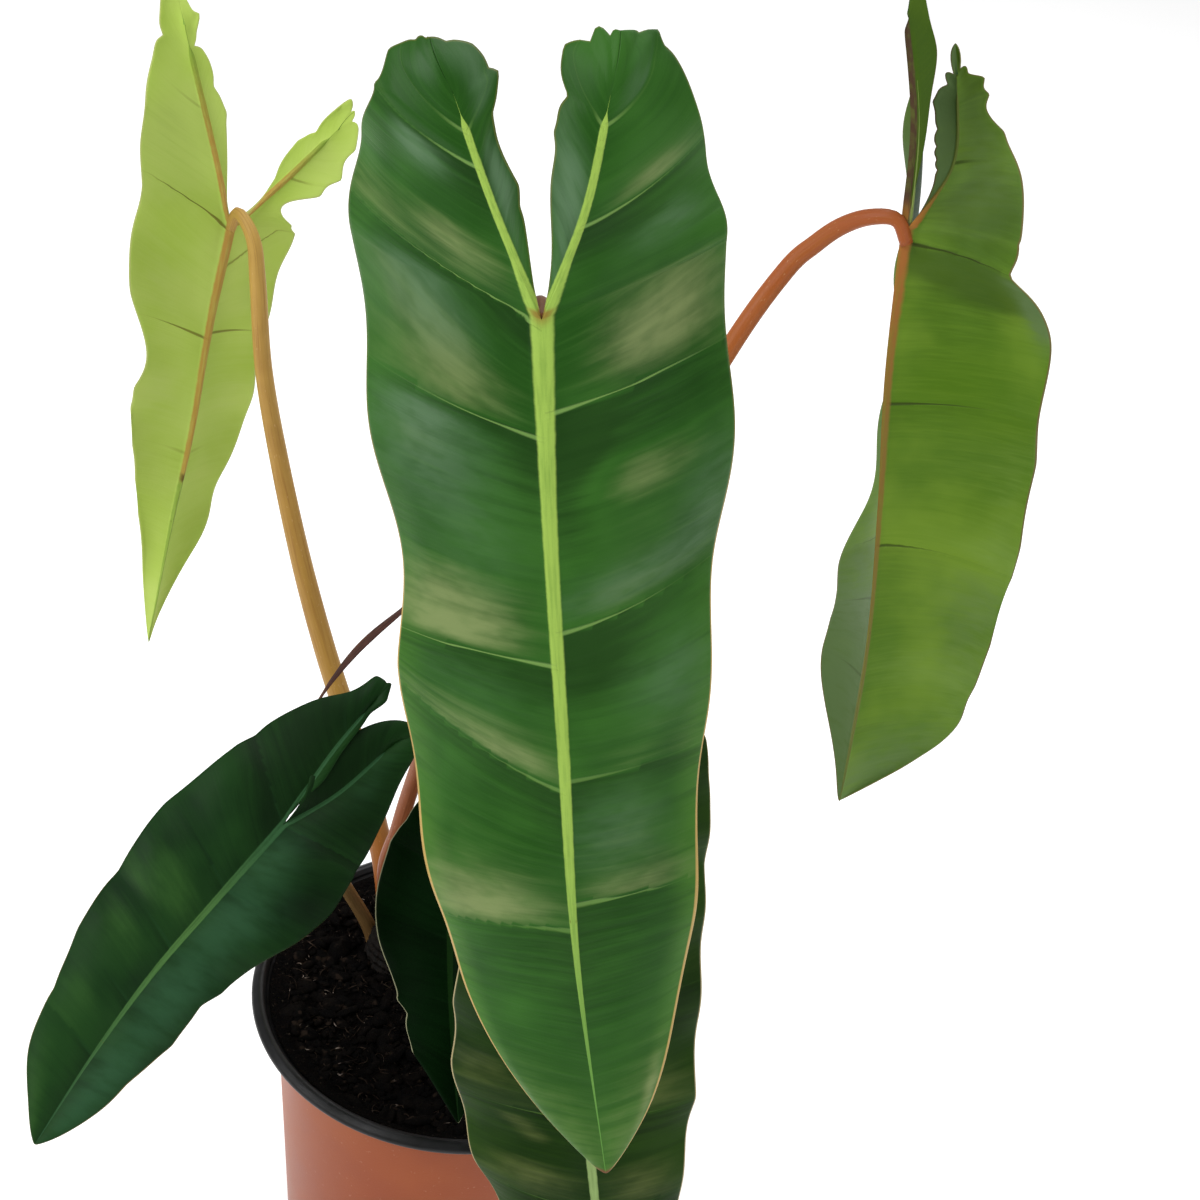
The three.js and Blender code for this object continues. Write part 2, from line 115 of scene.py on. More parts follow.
# %% Meshes from arrays
def grid_quads(rows, columns, closed_rows=False):
    """Corner numbers of the quads of a grid that is numbered row by row; closed_rows joins each row's ends."""
    i, j = np.meshgrid(np.arange(rows - 1), np.arange(columns if closed_rows else columns - 1), indexing="ij")
    k = (j + 1) % columns
    return np.stack([i * columns + j, i * columns + k, (i + 1) * columns + k, (i + 1) * columns + j], -1).reshape(-1, 4)


def skin(rings, ends=None):
    """A closed skin over rings of points: the points with the two end middles, the quads from ring to ring, and the
    fans of triangles at both ends."""
    count, sides = rings.shape[:2]
    points = np.vstack([rings.reshape(-1, 3), *(ends or (rings[0].mean(0), rings[-1].mean(0)))])
    j, last = np.arange(sides), (count - 1) * sides
    k, middle = (j + 1) % sides, np.full(sides, count * sides)
    fans = np.vstack([np.stack([k, j, middle], 1), np.stack([last + j, last + k, middle + 1], 1)])
    return points, grid_quads(count, sides, closed_rows=True), fans


def open_edges(corners, number_of=None):
    """The edges that only one quad has, as pairs of corners; number_of gives welded corners one number."""
    pairs = np.stack([corners, np.roll(corners, -1, 1)], -1).reshape(-1, 2)
    key = np.sort(pairs if number_of is None else number_of[pairs], 1) @ np.array([10_000_000, 1])
    _, place, uses = np.unique(key, return_index=True, return_counts=True)
    return pairs[place[uses == 1]]


def mesh_piece(name, points, faces, materials, uv=None, slots=None):
    """A smooth-shaded object from points in millimetres and groups of faces, with UV layers given corner by corner."""
    mesh = bpy.data.meshes.new(name)
    mesh.from_pydata((points * MM).tolist(), [], [face for group in faces for face in group.tolist()])
    for layer, values in (uv or {}).items():
        mesh.uv_layers.new(name=layer).data.foreach_set("uv", np.asarray(values, np.float32).ravel())
    for material in materials:
        mesh.materials.append(material)
    if slots is not None:
        mesh.polygons.foreach_set("material_index", np.asarray(slots, np.int32))
    mesh.polygons.foreach_set("use_smooth", np.ones(len(mesh.polygons), bool))
    mesh.update()
    piece = bpy.data.objects.new(name, mesh)
    bpy.context.scene.collection.objects.link(piece)
    print(name, len(mesh.polygons), "faces")
    return piece


def fine_piece(node, *parts, **layers):
    """The fine piece of a CAD node: it rides on the plant and takes the finish it is given, and the CAD node is hidden.
    """
    piece = mesh_piece(f"{node}_fine", *parts, **layers)
    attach(piece, "root")
    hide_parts(node)


# %% [markdown]
# ## Helpers for finishes
#
# A finish is a small graph of nodes. Each helper adds one or two nodes, and signs between their outputs add Math
# nodes, so that a material reads like a recipe. A colour is given as a screen code such as #2a6124.

# %% Node helpers
def colour(code, shade=1.0):
    """Linear RGBA of a screen colour, darkened by the shade."""
    c = np.array([int(code[i : i + 2], 16) / 255 for i in (1, 3, 5)])
    linear = np.where(c <= 0.04045, c / 12.92, ((c + 0.055) / 1.055) ** 2.4)
    return (*(shade * linear).tolist(), 1.0)


def math_node(operation):
    """A method that joins two outputs, or an output and a number, by a Math node."""
    return lambda flow, other=None: flow.finish.add("ShaderNodeMath", {0: flow, 1: other}, operation=operation)


class Flow:
    """A node's output; a sign between two of them adds a Math node."""

    def __init__(self, finish, socket):
        self.finish, self.socket = finish, socket

    __add__, __sub__, __mul__, __truediv__ = map(math_node, ("ADD", "SUBTRACT", "MULTIPLY", "DIVIDE"))
    __abs__, largest, pingpong = map(math_node, ("ABSOLUTE", "MAXIMUM", "PINGPONG"))


class Finish:
    """A material and the nodes that are added to it; its shader's own sockets take what is the same all over."""

    def __init__(self, name, specular, **sockets):
        self.material = bpy.data.materials.new(name)
        self.material.use_nodes = True
        self.tree = self.material.node_tree
        self.shader = self.tree.nodes["Principled BSDF"]
        for socket, value in {"Specular IOR Level": specular, **sockets}.items():
            self.shader.inputs[socket.replace("_", " ")].default_value = value

    def set(self, socket, value):
        """Lead an output to a socket, or set the socket to a number, a vector or a colour."""
        if isinstance(value, Flow):
            self.tree.links.new(value.socket, socket)
        elif value is not None:
            socket.default_value = colour(value) if isinstance(value, str) else value

    def add(self, kind, inputs, output=0, **settings):
        """A new node with its inputs and settings; what comes back is one of its outputs."""
        new = self.tree.nodes.new(kind)
        for key, value in settings.items():
            setattr(new, key, value)
        for key, value in inputs.items():
            self.set(new.inputs[key], value)
        return Flow(self, new.outputs[output])

    def split(self, vector):
        """The x, y and z of a vector."""
        node = self.add("ShaderNodeSeparateXYZ", {0: vector}).socket.node
        return [Flow(self, output) for output in node.outputs]

    def uv(self, layer):
        """The two values of a UV map."""
        return self.split(self.add("ShaderNodeUVMap", {}, uv_map=layer))[:2]

    def place(self, stretch=None):
        """The place on the piece, or that place stretched along the axes."""
        place = self.add("ShaderNodeTexCoord", {}, output="Object")
        return place if stretch is None else self.add("ShaderNodeMapping", {"Vector": place, "Scale": stretch})

    def noise(self, where, scale=1.0, detail=2.0, rough=0.55):
        """Soft noise over a place, or over up to three outputs taken as its axes."""
        if isinstance(where, tuple):
            where = self.add("ShaderNodeCombineXYZ", dict(enumerate(where)))
        return self.add("ShaderNodeTexNoise", {"Vector": where, "Scale": scale, "Detail": detail, "Roughness": rough})

    def rise(self, value, low, high, to_low=0.0, to_high=1.0):
        """An S-shaped rise of the value's range low..high on to to_low..to_high."""
        inputs = {"Value": value, "From Min": low, "From Max": high, "To Min": to_low, "To Max": to_high}
        return self.add("ShaderNodeMapRange", inputs, interpolation_type="SMOOTHSTEP")

    def mix(self, factor, base, tint):
        """Base * (1 - factor) + tint * factor."""
        return self.add("ShaderNodeMix", {0: factor, 6: base, 7: tint}, output=2, data_type="RGBA")

    def paint(self, base, tint, value, *ranges):
        """The tint laid over the base where the value rises; the ranges are those of a rise."""
        return self.mix(self.rise(value, *ranges), base, tint)

    def made(self, base, rough=None, height=None, depth=None):
        """The material, once colour, roughness and relief (height times depth in metres) reach its shader."""
        if height:
            height = self.add("ShaderNodeBump", {"Height": height, "Distance": depth, "Strength": 1.0})
        for socket, value in (("Base Color", base), ("Roughness", rough), ("Normal", height)):
            self.set(self.shader.inputs[socket], value)
        return self.material


# %% [markdown]
# ## The blades
#
# A philodendron blade is one thin sheet with a thick midrib. Beyond the stalk it runs on into two lobes, each with a
# vein of its own. Here each half is fanned out from its vein: a point is the hub on the vein, plus its share of the
# half's width in the direction in which the side veins run. The rows therefore lie along the side veins.
#
# Ribs, directions and widths are the CAD source's own numbers, in millimetres. Rows run from 0 at the tip to 1 at
# the stalk's joint and to 2 at the lobe's end. Ribs and veins are points, reaches are directions, and wide, lobe and
# inner are widths. A side vein has its row at the rib and at the margin, its strength and its reach. Pools of painted
# sheen (painted shade where the strength is below 0) and veils of painted sheen each have a vein number, a share
# across, how tall and wide they are and their strength. The painted panel shade sets how strong the painted sheen and
# shade on each panel are. A notch has its row, depth and size. What both halves share stands with the leaf.

# %% Leaf constants
CM = 10
BLADE_THICKNESS, LEAST_WIDTH, WIDEST_PANEL = 0.8, 0.05, 90
# The grid's lines crowd towards the tip, the lobe's end and the rib. Arch, wave and quilt are shares of the width.
TIP_CROWDING, LOBE_CROWDING, RIB_CROWDING = 1.5, 1.7, 1.2
ARCH, WAVE, QUILT = 0.09, 0.05, 0.03
# A lobe's vein stops at a share of its length. A rib stands out above and below the sheet by shares of its width.
RIB_STOP, RIB_END, LEAST_RIB = 0.84, 0.09, 0.05
RIB_ABOVE, RIB_BELOW = 0.2, 0.8
# Streaks on a lobe's inner strip are moved on by this length, so that they differ from those beside them.
LOBE_SHIFT = 40
LEAVES = {}


def keep_leaf(name, left, right, **shared):
    """Keep a leaf's numbers, and say how long its midrib is and how wide its two halves are."""
    LEAVES[name] = dict(left=left, right=right, **shared)
    widths = " and ".join(f"{max(half['wide']):g}" for half in (left, right))
    print(f"{name}: midrib {way_along(shared['rib'])[-1]:.0f} mm long, halves {widths} mm wide")


# %% Front leaf
left_half = dict(
    vein=[[-8, -76, 519], [-23, -67, 547]], reach=[[-0.9, 0.2, 0.4], [-1, 0.3, 0], [-0.9, 0.4, 0.1]],
    lobe_reach=[[-0.9, 0.5, 0.1], [-0.9, 0.4, 0.2], [-0.5, 0.5, 0.7]],
    inner_reach=[[0.3, 0.5, 0.8], [0.9, 0.4, 0.3], [0.8, 0.5, 0.4]], wide=[0, 27, 44, 47, 49.5, 52, 50, 58.5, 63.5],
    lobe=[56.5, 45.5, 32.5, 25, 17], inner=[5, 8, 8, 15],
    side_veins=[[0.43, 0.37, 0.5, 0.38], [0.58, 0.64, 0.6, 0.4], [0.7, 0.69, 1, 1], [0.9, 0.91, 0.9, 0.6],
        [0.99, 1.15, 1, 0.6], [1.5, 1.66, 0.9, 0.4], [1.66, 1.84, 0.9, 0.22]],
    pools=[[5.8, 0.5, 0.12, 0.16, 0.6], [5.26, 0.3, 0.17, 0.25, 0.6], [5.15, 0.85, 0.2, 0.2, 0.3],
        [4.5, 0.66, 0.25, 0.3, 0.3], [4.25, 0.45, 0.28, 0.3, 0.5], [3.84, 0.68, 0.17, 0.3, 0.55],
        [3.93, 0.34, 0.1, 0.2, 0.3], [3.12, 0.62, 0.2, 0.42, 0.85], [3.62, 0.4, 0.15, 0.3, 0.2],
        [2.2, 0.5, 0.4, 0.5, 0.4], [2.15, 0.22, 0.12, 0.25, 0.4], [1.1, 0.58, 0.2, 0.45, 0.6],
        [1.8, 0.5, 0.4, 0.6, 0.15], [0.5, 0.5, 0.8, 0.9, 0.32]],
    veils=[[5.85, 0.5, 0.2, 0.25, 0.9], [4.5, 0.6, 0.28, 0.3, 0.75], [5.7, -0.55, 0.45, 0.4, 0.9],
        [7.1, -0.7, 0.5, 0.4, 0.6], [7.3, 0.6, 0.3, 0.3, 0.4], [3.95, 0.6, 0.14, 0.3, 0.5],
        [3.75, 0.7, 0.2, 0.4, 0.5], [3.45, 0.4, 0.3, 0.4, 0.3], [2.6, 0.5, 0.4, 0.5, 0.3]],
    notches=[[1.79, -2.2, 0.05], [1.9, 0.9, 0.02], [1.66, -0.9, 0.02], [1.97, 0.9, 0.012]],
    inner_notches=[[1.94, 1, 0.02], [1.87, -1, 0.03], [1.81, 1.2, 0.015], [1.785, -1.6, 0.02], [1.69, 2, 0.06],
        [1.4, -0.6, 0.04], [1.33, 0.5, 0.03]],
)
right_half = dict(
    vein=[[16, -74, 521], [19, -63, 553]], reach=[[0.7, 0.4, 0.6], [0.9, 0.4, 0.1], [0.8, 0.5, 0.3]],
    lobe_reach=[[0.8, 0.6, 0.2], [0.8, 0.5, 0.4], [0, 0.5, 0.8]],
    inner_reach=[[-0.4, 0.5, 0.8], [-1, 0.2, 0.1], [-0.9, 0.3, 0.2]], wide=[0, 19, 31, 39, 41, 45, 50, 58.5, 59.5],
    lobe=[50, 39, 29.5, 24, 16.5], inner=[6, 11, 13, 19],
    side_veins=[[0.46, 0.445, 0.7, 0.7], [0.59, 0.6, 0.5, 0.45], [0.73, 0.77, 0.9, 0.6], [0.92, 0.93, 1, 0.8],
        [1.29, 1.48, 1, 0.6], [1.68, 1.86, 0.9, 0.24]],
    pools=[[5.12, 0.5, 0.13, 0.28, 0.6], [4.07, 0.62, 0.1, 0.32, 0.8], [3.62, 0.45, 0.13, 0.4, 0.7],
        [3.08, 0.4, 0.14, 0.4, 0.15], [1.7, 0.4, 0.3, 0.4, 0.35], [1.06, 0.35, 0.14, 0.35, 0.3],
        [0.5, 0.8, 0.1, 0.12, 0.6], [3.8, 0.12, 0.18, 0.2, -0.6], [3.5, 0.1, 0.2, 0.15, -0.5],
        [2.7, 0.2, 0.3, 0.3, -0.4], [0.5, 0.6, 0.7, 0.9, 0.32]],
    veils=[[5.15, -0.5, 0.45, 0.6, 0.8], [4.57, -0.6, 0.5, 0.6, 0.5], [4.6, 0.64, 0.2, 0.3, 0.6],
        [6.07, 0.5, 0.3, 0.4, 0.5], [3.12, 0.45, 0.14, 0.5, 0.6], [1.55, 0.35, 0.4, 0.45, 0.5],
        [2.5, 0.75, 0.3, 0.4, 0.5], [3.4, 0.9, 0.3, 0.25, 0.5]],
    notches=[[1.905, 1.6, 0.025], [1.86, -2.3, 0.025], [1.81, 0.5, 0.02]],
    inner_notches=[[1.88, 2.6, 0.02], [1.91, -1.2, 0.015], [1.95, 2.4, 0.014], [1.82, -1.4, 0.02], [1.72, 4.4, 0.045],
        [1.58, -1.2, 0.04]],
)
keep_leaf(
    "front_leaf", left_half, right_half, top=1, waves=(4, 0.1), panel_tone=1, lobe_rib=1.6, size=(170, 84, 52),
    rib=[[62, -163, 241], [43, -146, 315], [30, -127, 381], [18, -106, 440], [8, -82, 492]],
    rib_width=[0.1, 0.25, 0.75, 1.45, 1.9, 2.3, 3.6],
)

# %% Left leaf
left_half = dict(
    vein=[[-137, 123, 454], [-147, 126, 492]], reach=[[-0.6, 0.4, 0.6], [-0.8, -0.5, 0.4], [-0.7, -0.5, 0.5]],
    lobe_reach=[[-0.7, -0.6, 0.4], [-0.8, -0.3, 0.4], [-0.3, 0.5, 0.8]],
    inner_reach=[[0.2, 0.5, 0.8], [0.8, 0.5, 0.3], [0.8, 0.5, 0.4]], wide=[0, 5, 9.5, 13.5, 20, 24.5, 23.5, 37.5, 42],
    lobe=[34, 26, 16.5, 13, 14], inner=[5, 7.5, 6.5, 4],
    side_veins=[[0.59, 0.59, 0.4, 0.3], [0.81, 0.82, 0.9, 0.7], [0.99, 1.06, 1, 0.85], [1.42, 1.55, 0.3, 0.45]],
    pools=[[1.5, 0.6, 0.3, 0.4, 0.3], [2.3, 0.6, 0.3, 0.3, 0.25], [3.6, 0.6, 0.3, 0.4, -0.2]],
    notches=[[0.85, -2.4, 0.05], [0.695, -5.2, 0.045], [0.62, -3.2, 0.045], [1.86, -2.4, 0.05], [1.715, 2.4, 0.03]],
    inner_notches=[[1.84, -4.2, 0.035], [1.73, 2, 0.02], [1.5, 1.6, 0.04], [1.38, -0.8, 0.03], [1.07, 1, 0.05]],
)
right_half = dict(
    vein=[[-111, 139, 431], [-93, 154, 450]], reach=[[0.5, 0.5, 0.7], [0.7, 0.7, 0], [0.9, 0.5, -0.2]],
    lobe_reach=[[0.8, -0.1, -0.6], [0.9, 0, -0.4], [0.6, 0.4, 0.7]],
    inner_reach=[[0.3, 0.5, 0.8], [-0.6, 0.5, 0.7], [-0.1, 0.5, 0.8]],
    wide=[0, 3.5, 15, 22, 21, 26.5, 25, 24.5, 25.5], lobe=[7.5, 10.5, 10, 9.5, 9.5], inner=[1.5, 8, 8.5, 12.5],
    side_veins=[[0.59, 0.59, 0.3, 0.3], [0.82, 0.82, 0.9, 0.8], [0.93, 1.03, 0.7, 0.9], [1.37, 1.48, 0.6, 0.6]],
    pools=[[1.5, 0.6, 0.3, 0.4, 0.3], [2.4, 0.6, 0.3, 0.3, 0.3]],
    notches=[[1.93, 2.6, 0.03], [1.74, -1.4, 0.05], [1.56, -4.8, 0.07], [1.42, -2, 0.05], [1.115, -3.6, 0.045]],
    inner_notches=[[1.94, 2.2, 0.025], [1.62, 1.6, 0.03], [1.85, -3.6, 0.06], [1.5, -0.8, 0.04], [1.3, 0.8, 0.04]],
)
keep_leaf(
    "left_leaf", left_half, right_half, top=-1, waves=(5, 0.3), panel_tone=0.15, lobe_rib=1.5, size=(150, 70, 36),
    rib=[[-160, 111, 220], [-152, 115, 273], [-143, 119, 324], [-136, 120, 372], [-128, 123, 417]],
    rib_width=[0.3, 0.6, 0.8, 1.3, 1.6, 1.9, 2.3],
)

# %% Right leaf
left_half = dict(
    vein=[[121.8, 92, 506], [111.4, 95, 541.4]], lobe_rib=2.6, rib_stop=0.92,
    reach=[[-0.7, 0.4, 0.6], [-0.3, 0.8, -0.4], [0.13, 0.9, -0.4], [0.1, 0.95, -0.3]],
    lobe_reach=[[0.0, 1, -0.2], [0.11, 1, -0.1], [0.13, 1, 0.1], [0.07, 0.8, 0.4], [-0.2, 0.5, 0.8]],
    inner_reach=[[0.2, 0.5, 0.8], [0.9, 0.4, 0.1], [0.9, 0.4, 0.3]], wide=[0, 6, 17, 27, 32, 36, 40, 44, 45],
    lobe=[42, 38, 33, 26, 18], inner=[3, 5.5, 8.8, 9.5],
    side_veins=[[0.36, 0.36, 0.4, 0.6], [0.5, 0.47, 0.5, 0.7], [0.6, 0.57, 0.5, 0.7], [0.8, 0.77, 0.4, 0.6],
        [1.0, 1.02, 0.5, 0.6], [1.4, 1.5, 0.5, 0.6]],
    pools=[[1.3, 0.5, 0.25, 0.4, 0.4], [2.3, 0.5, 0.25, 0.4, 0.4], [1.75, 0.4, 0.3, 0.5, -0.8],
        [6, 0.5, 1.3, 1.5, -1.1], [6, -0.5, 1.3, 1.5, -1.1], [1.2, 0.5, 1.6, 1.5, -0.75]],
    veils=[[1.2, 0.5, 2.2, 1.5, 1.1]], notches=[[0.43, -4, 0.06], [0.54, -3.6, 0.06], [0.62, -2.4, 0.05]],
)
right_half = dict(
    vein=[[140, 106, 487], [136, 118, 516]], reach=[[0.9, 0.3, 0.4], [0.9, -0.2, 0.4], [0.9, -0.5, 0.2]],
    lobe_reach=[[0.9, -0.2, 0.5], [0.9, 0.1, 0.5], [-0.2, 0.5, 0.8]],
    inner_reach=[[0.2, 0.5, 0.8], [-1, 0.1, -0.1], [-1, 0.3, 0.2]],
    wide=[0, 45.5, 50.5, 54, 56.5, 57.5, 59, 59.5, 43.5], lobe=[30.5, 17.5, 9.5, 8, 11.5], inner=[3, 8, 8.5, 9],
    side_veins=[[0.25, 0.17, 0.1, 0.5], [0.585, 0.49, 0.8, 0.4], [0.785, 0.76, 0.9, 0.6], [0.985, 0.962, 1, 0.9],
        [1.34, 1.26, 0.8, 0.35]],
    pools=[[0.5, 0.5, 0.4, 0.9, 0.7], [1.35, 0.5, 0.16, 0.6, 0.45], [1.75, 0.7, 0.2, 0.4, 0.15],
        [2.6, 0.5, 0.2, 0.5, 0.2], [2.1, 0.6, 0.15, 0.4, 0.25], [3.85, 0.75, 0.14, 0.3, -0.9],
        [3.4, 0.4, 0.4, 0.5, -0.2], [3.93, 0.4, 0.1, 0.45, -0.7], [4.35, 0.6, 0.45, 0.6, -0.8],
        [4.8, 0.12, 0.2, 0.2, 0.35], [5.4, 0.5, 0.9, 0.7, -0.45], [1.9, 0.9, 1.2, 0.2, 0.4]],
    veils=[[0.4, 0.5, 0.6, 1.2, 0.8], [1.7, 0.8, 0.4, 0.4, 0.5], [3.75, 0.97, 0.25, 0.1, 1.2],
        [5.0, 0.4, 1.3, 1.2, 0.5], [5.3, -0.5, 1.4, 1.2, 1.2]],
    notches=[[0.06, -3.2, 0.03], [0.1, -2.4, 0.03], [0.27, -1.4, 0.06], [0.4, -0.7, 0.05], [0.55, -1.4, 0.06],
        [0.68, -1.6, 0.06], [0.962, 7.5, 0.022], [1.43, -1.4, 0.06], [1.65, -3.2, 0.045], [1.74, -3.4, 0.04],
        [1.82, 2.4, 0.05], [1.91, 6.0, 0.038]],
    inner_notches=[[1.3, 0.8, 0.015], [1.36, 0.8, 0.015], [1.42, 0.9, 0.015], [1.5, 1, 0.02], [1.62, -1.2, 0.03],
        [1.76, 4.2, 0.05], [1.88, 7.2, 0.052]],
)
keep_leaf(
    "right_leaf", left_half, right_half, top=-1, waves=(4, 0.6), panel_tone=0.4, lobe_rib=0.75, size=(170, 76, 48),
    rib=[[148, 74, 215], [146, 82, 285], [139, 85, 350], [131, 88, 410], [127.3, 94, 464.4]],
    rib_width=[0.3, 0.9, 1.3, 1.5, 1.8, 2.3, 3.0],
)

# %% Low left leaf
left_half = dict(
    vein=[[-56, -18, 275], [-44, 2, 287]], reach=[[-0.7, 0.4, 0.6], [-0.7, 0.5, 0.5], [-0.6, 0.5, 0.6]],
    lobe_reach=[[-0.7, 0.5, 0.5], [-0.2, 0.6, 0.7], [0.6, 0.4, 0.7]],
    inner_reach=[[0.4, 0.5, 0.8], [0.9, -0.1, -0.4], [1, -0.1, -0.1]],
    wide=[0, 9.5, 20.5, 25, 29, 33, 35, 36.5, 33.5], lobe=[27, 19.5, 12.5, 11, 10], inner=[3.2, 2.8, 2.6, 2.8],
    side_veins=[[0.4, 0.38, 0.1, 0.4], [0.55, 0.54, 0.1, 0.4], [0.7, 0.7, 0.15, 0.5], [0.86, 0.87, 0.1, 0.5],
        [1.0, 1.1, 0.1, 0.5], [1.5, 1.6, 0.1, 0.5]],
    pools=[[3.5, 0.4, 0.3, 0.45, 0.9], [2.6, 0.6, 0.3, 0.4, 0.8], [1.6, 0.6, 0.35, 0.4, 0.6],
        [0.6, 0.7, 0.5, 0.4, 0.7], [3.15, 0.8, 0.12, 0.3, 0.5], [3.9, 0.7, 0.12, 0.4, 0.4], [5.5, 0.5, 1, 0.9, -0.7]],
    notches=[[0.42, 0.8, 0.03], [0.55, -0.8, 0.04], [0.7, 0.9, 0.03], [0.85, -0.8, 0.04], [1.1, 0.9, 0.06],
        [1.8, -2.0, 0.06], [1.93, 0.9, 0.03], [0.8, -1.6, 0.15]], inner_notches=[[1.86, -2.2, 0.06], [1.1, -2, 0.1]],
)
right_half = dict(
    vein=[[-51, -24, 263], [-34, -3, 274]], reach=[[1, 0, 0], [0.9, -0.1, -0.4], [0.8, -0.1, -0.5]],
    lobe_reach=[[0.7, -0.2, -0.6], [0.9, -0.1, -0.4], [0.9, 0.2, 0.3]],
    inner_reach=[[0.4, 0.3, 0.9], [-0.6, 0.3, 0.7], [-0.2, 0.5, 0.8]],
    wide=[0, 7.5, 13.5, 17, 20, 21.5, 25.5, 31.5, 31.5], lobe=[26, 19, 13, 10.5, 10], inner=[11.5, 15, 14, 11.5],
    side_veins=[[0.4, 0.38, 0.1, 0.4], [0.55, 0.54, 0.1, 0.4], [0.7, 0.7, 0.15, 0.5], [0.86, 0.87, 0.15, 0.5],
        [1.0, 1.1, 0.15, 0.5], [1.5, 1.6, 0.1, 0.5]],
    pools=[[5.6, 0.5, 1, 0.9, -0.6], [5.6, -0.5, 1, 0.9, -0.8], [4.2, 0.8, 0.3, 0.4, -0.6]],
    veils=[[4.6, 0.15, 0.5, 0.3, 0.6], [3.7, 0.35, 0.6, 0.4, 0.8], [2.6, 0.5, 0.7, 0.5, 0.7],
        [1.5, 0.5, 0.9, 0.5, 0.6], [0.7, 0.6, 0.6, 0.6, 0.5], [6, 0.3, 0.6, 0.4, 0.4]],
    notches=[[0.62, 1.0, 0.03], [0.67, -0.8, 0.03], [0.35, 0.6, 0.05], [0.5, -0.7, 0.03], [0.85, -0.6, 0.04],
        [0.93, -3, 0.07]], inner_notches=[[1.08, -1.5, 0.08]],
)
keep_leaf(
    "low_left_leaf", left_half, right_half, top=1, waves=(4, 0.4), panel_tone=0.6, lobe_rib=0.9, size=(130, 66, 40),
    rib=[[-127, -148, 198], [-115, -122, 215], [-101, -97, 232], [-86, -72, 245], [-68, -43, 260]],
    rib_width=[0.1, 0.3, 0.5, 0.8, 1.1, 1.3, 1.6],
)

# %% Small inner leaf
left_half = dict(
    vein=[[-16, -4, 231], [-20, 3, 235]], reach=[[-0.7, 0.4, 0.6], [-1, 0.2, 0], [-1, 0.3, 0.1]],
    lobe_reach=[[-1, 0.3, 0.1], [-0.9, 0.4, 0.3], [-0.1, 0.5, 0.8]],
    inner_reach=[[0.3, 0.5, 0.8], [0.8, 0.4, 0.4], [0.5, 0.6, 0.7]], wide=[0, 14, 21, 21, 20, 23.5, 29, 30.5, 25.5],
    lobe=[18, 12, 9, 7.5, 8.5], notches=[[0.23, -2.6, 0.05], [0.5, 1.4, 0.03], [0.545, -1.6, 0.02]],
)
right_half = dict(
    vein=[[-4, -1, 232], [-2, 6, 236]], reach=[[0.5, 0.5, 0.7], [0.9, 0.4, 0.2], [0.8, 0.5, 0.2]],
    lobe_reach=[[0.8, 0.5, 0.2], [0.7, 0.5, 0.5], [0.1, 0.5, 0.8]],
    inner_reach=[[-0.6, 0.5, 0.7], [-0.9, 0.3, 0.2], [-0.7, 0.5, 0.5]], wide=[0, 8, 15, 20, 24, 27, 29, 29, 27],
    lobe=[25, 21, 17, 12, 9],
)
keep_leaf(
    "small_inner_leaf", left_half, right_half, top=1, waves=(3, 0.2), panel_tone=0.5, lobe_rib=1.0, size=(96, 44, 30),
    rib=[[10, -87, 167], [5, -72, 183], [0, -54, 199], [-4, -35, 213], [-8, -15, 226]],
    rib_width=[0.2, 0.5, 0.7, 0.9, 1.1, 1.4, 1.8], inner=[3, 5, 6.5, 7.5],
    side_veins=[[0.4, 0.38, 0.2, 0.4], [0.6, 0.6, 0.2, 0.4], [0.8, 0.82, 0.3, 0.4], [1.0, 1.1, 0.3, 0.4]],
)

# %% Low front leaf
left_half = dict(
    vein=[[24, -61, 301], [13, -45, 311]], reach=[[-0.8, 0.3, 0.5], [-1, 0.2, 0], [-1, 0.3, 0.1]],
    lobe_reach=[[-1, 0.3, 0.1], [-0.9, 0.4, 0.3], [-0.4, 0.5, 0.8]],
    inner_reach=[[0.3, 0.5, 0.8], [0.8, 0.4, 0.4], [0.5, 0.6, 0.7]], wide=[0, 22, 36, 43, 46.5, 46, 43, 42, 41],
    lobe=[38, 34, 28, 21, 15],
    pools=[[2.9, 0.55, 0.1, 0.25, 0.9], [2.75, 0.4, 0.1, 0.2, 0.8], [2.3, 0.5, 0.2, 0.4, 0.6],
        [3.3, 0.75, 0.15, 0.3, 0.4], [1.3, 0.5, 0.3, 0.4, 0.5]], notches=[[0.75, -4, 0.06], [0.66, -2.2, 0.05]],
)
right_half = dict(
    vein=[[53, -63, 306], [69, -51, 319]], reach=[[0.6, 0.4, 0.6], [0.9, 0.3, 0.2], [1, 0.3, 0]],
    lobe_reach=[[1, 0.2, 0], [0.9, 0.3, 0.3], [0.5, 0.5, 0.7]],
    inner_reach=[[-0.4, 0.5, 0.8], [-0.6, 0.6, 0.6], [-0.1, 0.7, 0.7]],
    wide=[0, 16.5, 27, 31, 33.5, 36.5, 40.5, 43.5, 47], lobe=[36.5, 27.5, 19, 15, 14],
    pools=[[1.3, 0.5, 0.3, 0.4, 0.5], [2.3, 0.5, 0.3, 0.4, 0.5], [3.2, 0.5, 0.25, 0.4, 0.5]],
    notches=[[0.61, -2.2, 0.05]],
)
keep_leaf(
    "low_front_leaf", left_half, right_half, top=1, waves=(5, 0.7), panel_tone=1, lobe_rib=1.4, size=(130, 64, 44),
    rib=[[74, -153, 132], [65, -138, 178], [55, -121, 219], [47, -101, 256], [39, -78, 288]],
    rib_width=[0.2, 0.9, 1.3, 1.6, 1.9, 2.2, 2.6], inner=[4, 8, 11, 13],
    side_veins=[[0.28, 0.24, 0.5, 0.6], [0.45, 0.42, 0.5, 0.6], [0.62, 0.61, 0.6, 0.6], [0.8, 0.82, 0.7, 0.6],
        [1.0, 1.12, 0.8, 0.6], [1.5, 1.6, 0.5, 0.5]],
)


# %% Veins and patches of light
# Shares of a panel's tone: painted sheen just above each side vein, painted shade just below the next one.
PANEL_SHEEN, PANEL_SHADE = 0.2, 0.7


